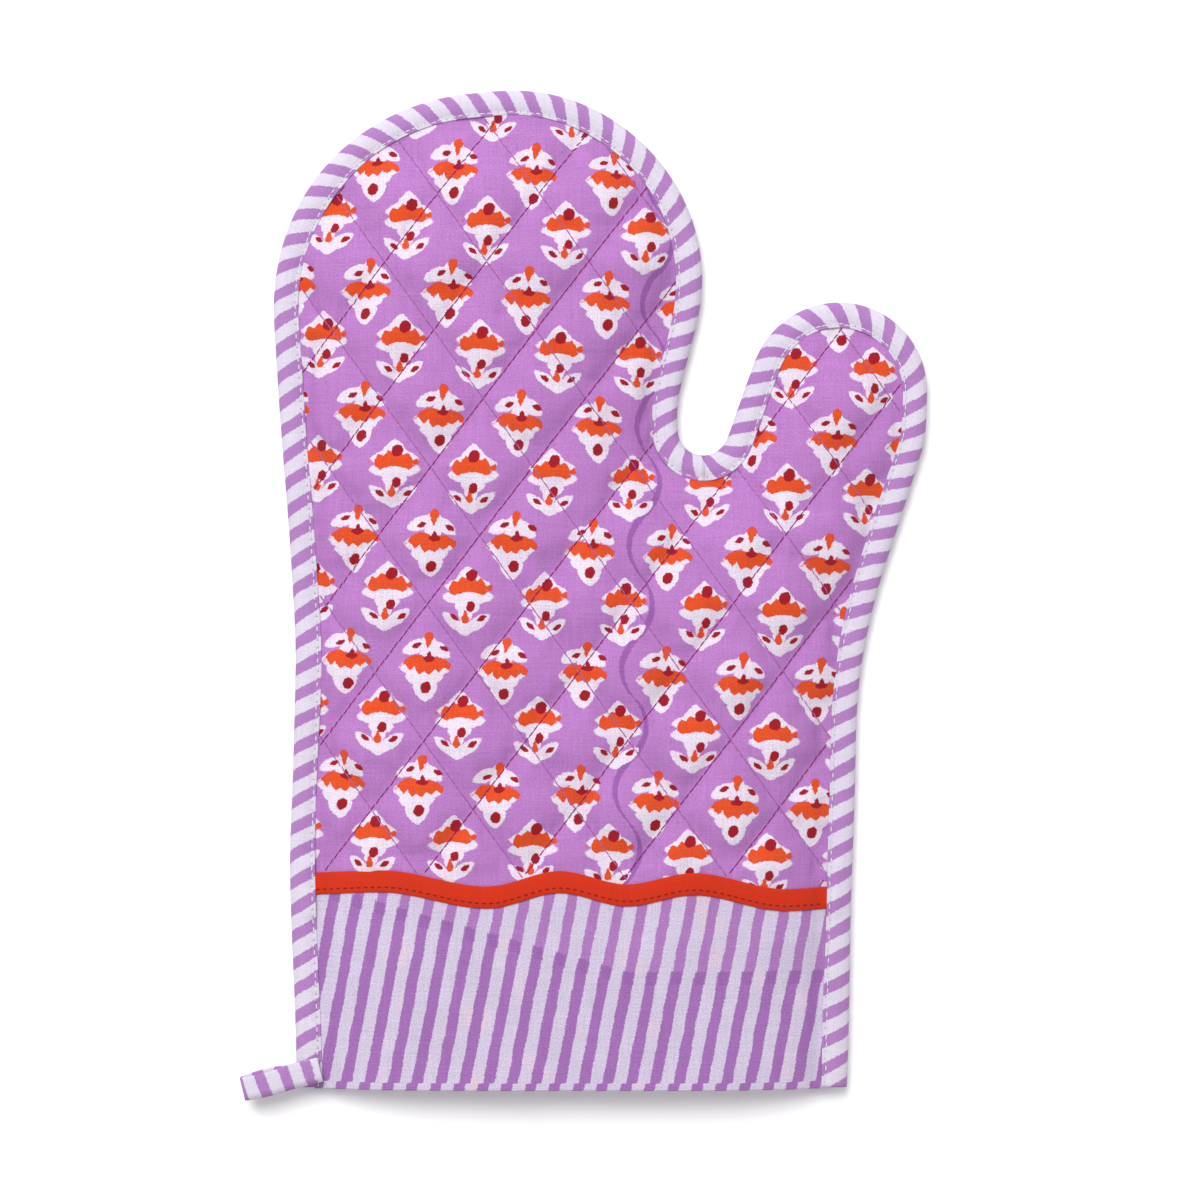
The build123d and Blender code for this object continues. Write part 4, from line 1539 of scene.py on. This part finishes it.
def make_printed_cotton():
    material, tree, shader = new_material("printed cotton")
    cloth = cloth_in_mm(tree)
    weave = use_group(tree, weave_group, Cloth=cloth, Thread=PRINT_WEAVE)
    wobble = noise(tree, cloth, 0.9, 3.0, 0.65, "Color")
    ragged = add_vector(cloth, scaled(add_vector(wobble, (-0.5, -0.5, -0.5)), 1.25))
    masks = printings(tree, ragged)
    x, y = split(ragged)
    first = block_edge(x, y, 0.0, 0.0)
    second = block_edge(x, y, 1.75, -1.2)
    overlap = first.ramp(-0.12, 0.12) * second.ramp(0.12, -0.12)
    purple = mix(tree, overlap * 0.72, dye(190, 128, 201), dye(142, 78, 160))
    blotch = noise(tree, cloth, 0.35, 3.0, 0.6)
    purple = mix(tree, (blotch - 0.35) * 0.35, purple, dye(172, 104, 186))
    specks = noise(tree, cloth, 2.6, 2.0, 0.6).ramp(0.69, 0.76)
    purple = mix(tree, specks * 0.35, purple, dye(226, 190, 230))
    bare = mix(tree, masks["bare"].ramp(-0.16, 0.16), purple, dye(238, 224, 241))
    orange = mix(tree, masks["orange"].ramp(-0.14, 0.14), bare, dye(231, 80, 30))
    rim_share = masks["orange"].math("ABSOLUTE").ramp(0.45, 0.05) * masks["orange"].ramp(-0.2, 0.1) * 0.3
    rimmed = mix(tree, rim_share, orange, dye(214, 44, 30))
    red = mix(tree, masks["red"].ramp(-0.12, 0.12), rimmed, dye(162, 12, 32))
    dyed_cotton(tree, shader, cloth, weave, red, patches=0.10, threads=0.34, specks=0.45)
    return material


printed_cotton = make_printed_cotton()

# %% [markdown]
# The band is striped by a comb set down twice, so its bars are a little darker below a slanting line
# where the second setting starts, and darkest where the two meet. Faint pink of another cloth's dye has
# rubbed off on the white.

# %% Material: the cuff band
BAND_PITCH = 7.7
BAND_LEAN = math.radians(10.7)
HEM_STEP = 2.2                      # below this, the cloth was pressed under while wet and printed askew
SETTING_SLOPE = -0.28
SETTING_HEIGHT = 44.2               # where the second setting of the comb starts, in the middle of the cuff
SETTING_LOWEST = 39.0               # and it runs level where it comes down to this


def make_band_cotton():
    material, tree, shader = new_material("striped band cotton")
    cloth = cloth_in_mm(tree)
    weave = use_group(tree, weave_group, Cloth=cloth, Thread=PRINT_WEAVE)
    x, y = split(cloth)
    setting = (x * SETTING_SLOPE + SETTING_HEIGHT).math("MAXIMUM", SETTING_LOWEST)
    below = y - setting
    turned_up = y.ramp(HEM_STEP + 0.1, HEM_STEP - 0.1)
    striped = add_vector(cloth, join(tree, turned_up * 1.6, 0.0))

    def bars(share, start):
        return use_group(tree, stripes_group, Cloth=striped, Turn=BAND_LEAN, Pitch=BAND_PITCH, Share=share,
                         Start=start)["Bar"]

    upper, lower = bars(0.43, 0.0), bars(0.47, 0.45)
    tooth = (noise(tree, cloth, 0.9, 2.0) - 0.5) * 1.5
    low_share = (below + tooth).ramp(0.3, -0.3)
    high_share = (below + tooth).ramp(-4.6, -4.0)
    rubbed = noise(tree, cloth, 0.075, 2.0).ramp(0.52, 0.74) * 0.55
    white = mix(tree, rubbed, dye(216, 203, 229), dye(240, 207, 221))
    pale = mix(tree, upper * high_share, white, dye(178, 124, 192))
    dark = mix(tree, lower * low_share, pale, dye(167, 112, 184))
    both = mix(tree, upper * lower * low_share * high_share * 0.22, dark, dye(128, 72, 150))
    dyed_cotton(tree, shader, cloth, weave, both, patches=0.07, threads=0.26, specks=0.5)
    return material


band_cotton = make_band_cotton()

# %% [markdown]
# The same striped cotton is cut on the slant for the binding and the loop, so the bars cross the tape
# at an angle. Along the stitched edge each needle hole between the stitches is darkened with painted shade.

# %% Materials: striped tape, trim, lining and wadding
def make_tape_cotton(name, pitch, share, turn, hole_shade_run):
    material, tree, shader = new_material(name)
    cloth = flat_in_mm(tree)
    weave = use_group(tree, weave_group, Cloth=cloth, Thread=PRINT_WEAVE)
    bar = use_group(tree, stripes_group, Cloth=cloth, Turn=turn, Pitch=pitch, Share=share)["Bar"]
    colour = mix(tree, bar, dye(228, 219, 237), dye(181, 129, 195))
    if hole_shade_run:
        along, across = split(cloth)
        # Painted shade in the needle holes: small darker spots between the stitches along the stitched row.
        painted_hole_shade = ((along / (STITCH_PITCH / mm)).math("FRACT") - 0.5).math("ABSOLUTE").ramp(0.36, 0.46)
        row = (across - hole_shade_run).math("ABSOLUTE").ramp(0.55, 0.25)
        colour = mix(tree, painted_hole_shade * row * 0.5, colour, dye(120, 84, 132))
    dyed_cotton(tree, shader, cloth, weave, colour, patches=0.07, threads=0.22, specks=0.2)
    return material


def make_plain_cotton(name, colour, thread, threads, patches, bump):
    material, tree, shader = new_material(name)
    cloth = cloth_in_mm(tree)
    weave = use_group(tree, weave_group, Cloth=cloth, Thread=thread)
    dyed_cotton(tree, shader, cloth, weave, colour, patches, threads, threads * 0.7, bump)
    return material


inward_on_palm = np.array(BINDING_SECTION)[ON_PALM, 0] * mm
run_of_stitch = float(np.interp(TOPSTITCH_INSET, inward_on_palm, section_run()[ON_PALM]) / mm)
binding_cotton = make_tape_cotton("binding cotton", 7.8, 0.47, math.radians(28), run_of_stitch)
loop_cotton = make_tape_cotton("loop cotton", 7.7, 0.46, math.radians(-8), 0)
trim_cotton = make_plain_cotton("orange trim cotton", dye(213, 47, 8), 0.5, 0.2, 0.08, 0.08 * mm)
lining_cotton = make_plain_cotton("plain lining cotton", dye(236, 230, 220), 0.5, 0.16, 0.05, 0.09 * mm)
wadding_cotton = make_plain_cotton("needled wadding", dye(240, 238, 230), 1.6, 0.12, 0.08, 0.5 * mm)

# %% [markdown]
# Sewing thread is two or three strands twisted together. Seen from close by, the twist is a slanting
# ridge that runs round each stitch, so the group makes ridges from the stitch's own flat coordinates.

# %% Materials: threads
def make_twist():
    tree, given, give = new_group("thread twist", [("Stitch", VECTOR, None), ("Ply", FLOAT, 0.42)],
                                  [("Ridge", FLOAT), ("Hair", FLOAT)])
    along, around = split(given["Stitch"])
    ridge = ((along + around * 0.9) / given["Ply"] * (2 * math.pi)).math("SINE") * 0.5 + 0.5
    give(Ridge=ridge, Hair=noise(tree, given["Stitch"], 3.0, 2.0, 0.7))
    return tree


twist_group = make_twist()


def make_thread(name, colour):
    material, tree, shader = new_material(name, roughness=0.6, sheen=0.05)
    twist = use_group(tree, twist_group, Stitch=flat_in_mm(tree), Ply=0.42)
    shadow = (*(channel * 0.6 for channel in colour[:3]), 1.0)
    shade = mix(tree, twist["Ridge"] * 0.4 + twist["Hair"] * 0.3 + 0.45, shadow, colour)
    put(tree, shader.inputs["Base Color"], shade)
    put(tree, shader.inputs["Roughness"], twist["Hair"] * 0.3 + 0.5)
    bumped(tree, shader, twist["Ridge"], 0.06 * mm)
    return material


# One quilting thread in two materials: the darker is painted shade for the rising rows' grooves, the lighter
# is painted light for the falling rows.
quilting_thread_painted_shade = make_thread("dark magenta thread", dye(156, 10, 116))
quilting_thread_painted_light = make_thread("soft pink thread", dye(186, 112, 184))
pale_thread = make_thread("pale thread", dye(252, 246, 253))
orange_thread = make_thread("orange-red thread", dye(158, 10, 2))

# %% [markdown]
# The finishes are listed under slot names, whatever the materials are called here, but nothing here passes
# the slot names on. The quilting's pieces carry one thread in two materials, one with painted shade and one
# with painted light, and each stitch says which it uses.

# %% Give each piece its finish
FINISHES = {
    "printed_cotton": ([*front_print.values(), *back_print.values()], [printed_cotton]),
    "striped_cotton": ([palm_band, back_band], [band_cotton]),
    "trim_cotton": ([palm_trim, back_trim], [trim_cotton]),
    "lining_cotton": ([*palm_lining.values(), *back_lining.values()], [lining_cotton]),
    "cotton_wadding": ([*palm_wadding.values(), *back_wadding.values()], [wadding_cotton]),
    # Rising rows take the thread with painted shade, falling rows the thread with painted light.
    "quilting_thread": ([*palm_quilting.values(), *back_quilting.values()],
                        [quilting_thread_painted_shade, quilting_thread_painted_light]),
    "pale_thread": ([hand_topstitch, thumb_topstitch, tack_stitches], [pale_thread]),
    "orange_thread": ([trim_stitch], [orange_thread]),
}
for slot_name, (dressed, finishes) in FINISHES.items():
    for piece in dressed:
        for finish in finishes:
            piece.data.materials.append(finish)
tapes = ((hand_binding, binding_cotton), (thumb_binding, binding_cotton), (loop_tape, loop_cotton))
for piece, finish in tapes:
    piece.data.materials.append(finish)
print("finishes", len(bpy.data.materials), "groups", len(bpy.data.node_groups))

# %% [markdown]
# The mitt lies on a pale table, seen from straight above. A wide soft light stands over its fingertips,
# a little to the left, so that each pillow has a light side and a dark side and the edge throws a soft
# shadow. A white surround fills the shadows in, and the table lies just clear of the lowest cloth.

# %% Floor, light and camera
FLOOR_CLEAR = 0.4 * mm


def make_floor():
    """A wide pale floor under the mitt."""
    reach = 3.0
    corners = [(-reach, -reach, 0), (reach, -reach, 0), (reach, reach, 0), (-reach, reach, 0)]
    floor = plain_mesh("floor", corners, [(0, 1, 2, 3)])
    floor.location.z = cad_bounds[0].z - FLOOR_CLEAR
    material = bpy.data.materials.new("pale floor")
    material.use_nodes = True
    shader = material.node_tree.nodes["Principled BSDF"]
    shader.inputs["Base Color"].default_value = (0.97, 0.97, 0.97, 1)
    shader.inputs["Roughness"].default_value = 0.9
    shader.inputs["Specular IOR Level"].default_value = 0.1
    floor.data.materials.append(material)


def soft_light(name, place, size, power):
    """A square light aimed at the middle of the mitt."""
    data = bpy.data.lights.new(name, "AREA")
    data.size = size
    data.energy = power
    light = bpy.data.objects.new(name, data)
    light.location = place
    light.rotation_euler = (Vector((0, 0, 0)) - Vector(place)).to_track_quat("-Z", "Y").to_euler()
    bpy.context.scene.collection.objects.link(light)


make_floor()
soft_light("key", (-0.8, 1.9, 3.2), 2.6, 148)
world = bpy.data.worlds.new("studio")
world.use_nodes = True
world.node_tree.nodes["Background"].inputs["Color"].default_value = (1, 1, 1, 1)
world.node_tree.nodes["Background"].inputs["Strength"].default_value = 0.6
bpy.context.scene.world = world
bpy.context.scene.view_settings.view_transform = "Standard"

CAMERA_HEIGHT = 1.6
FRAME_WIDTH = 394.2 * mm            # how much of the table the picture is wide
AIM = (5.5 * mm, -1.6 * mm)
camera_data = bpy.data.cameras.new("camera")
camera_data.sensor_width = 36
camera_data.lens = camera_data.sensor_width * (CAMERA_HEIGHT - palm_top) / FRAME_WIDTH
camera = bpy.data.objects.new("camera", camera_data)
camera.location = (*AIM, CAMERA_HEIGHT)
bpy.context.scene.collection.objects.link(camera)
bpy.context.scene.camera = camera
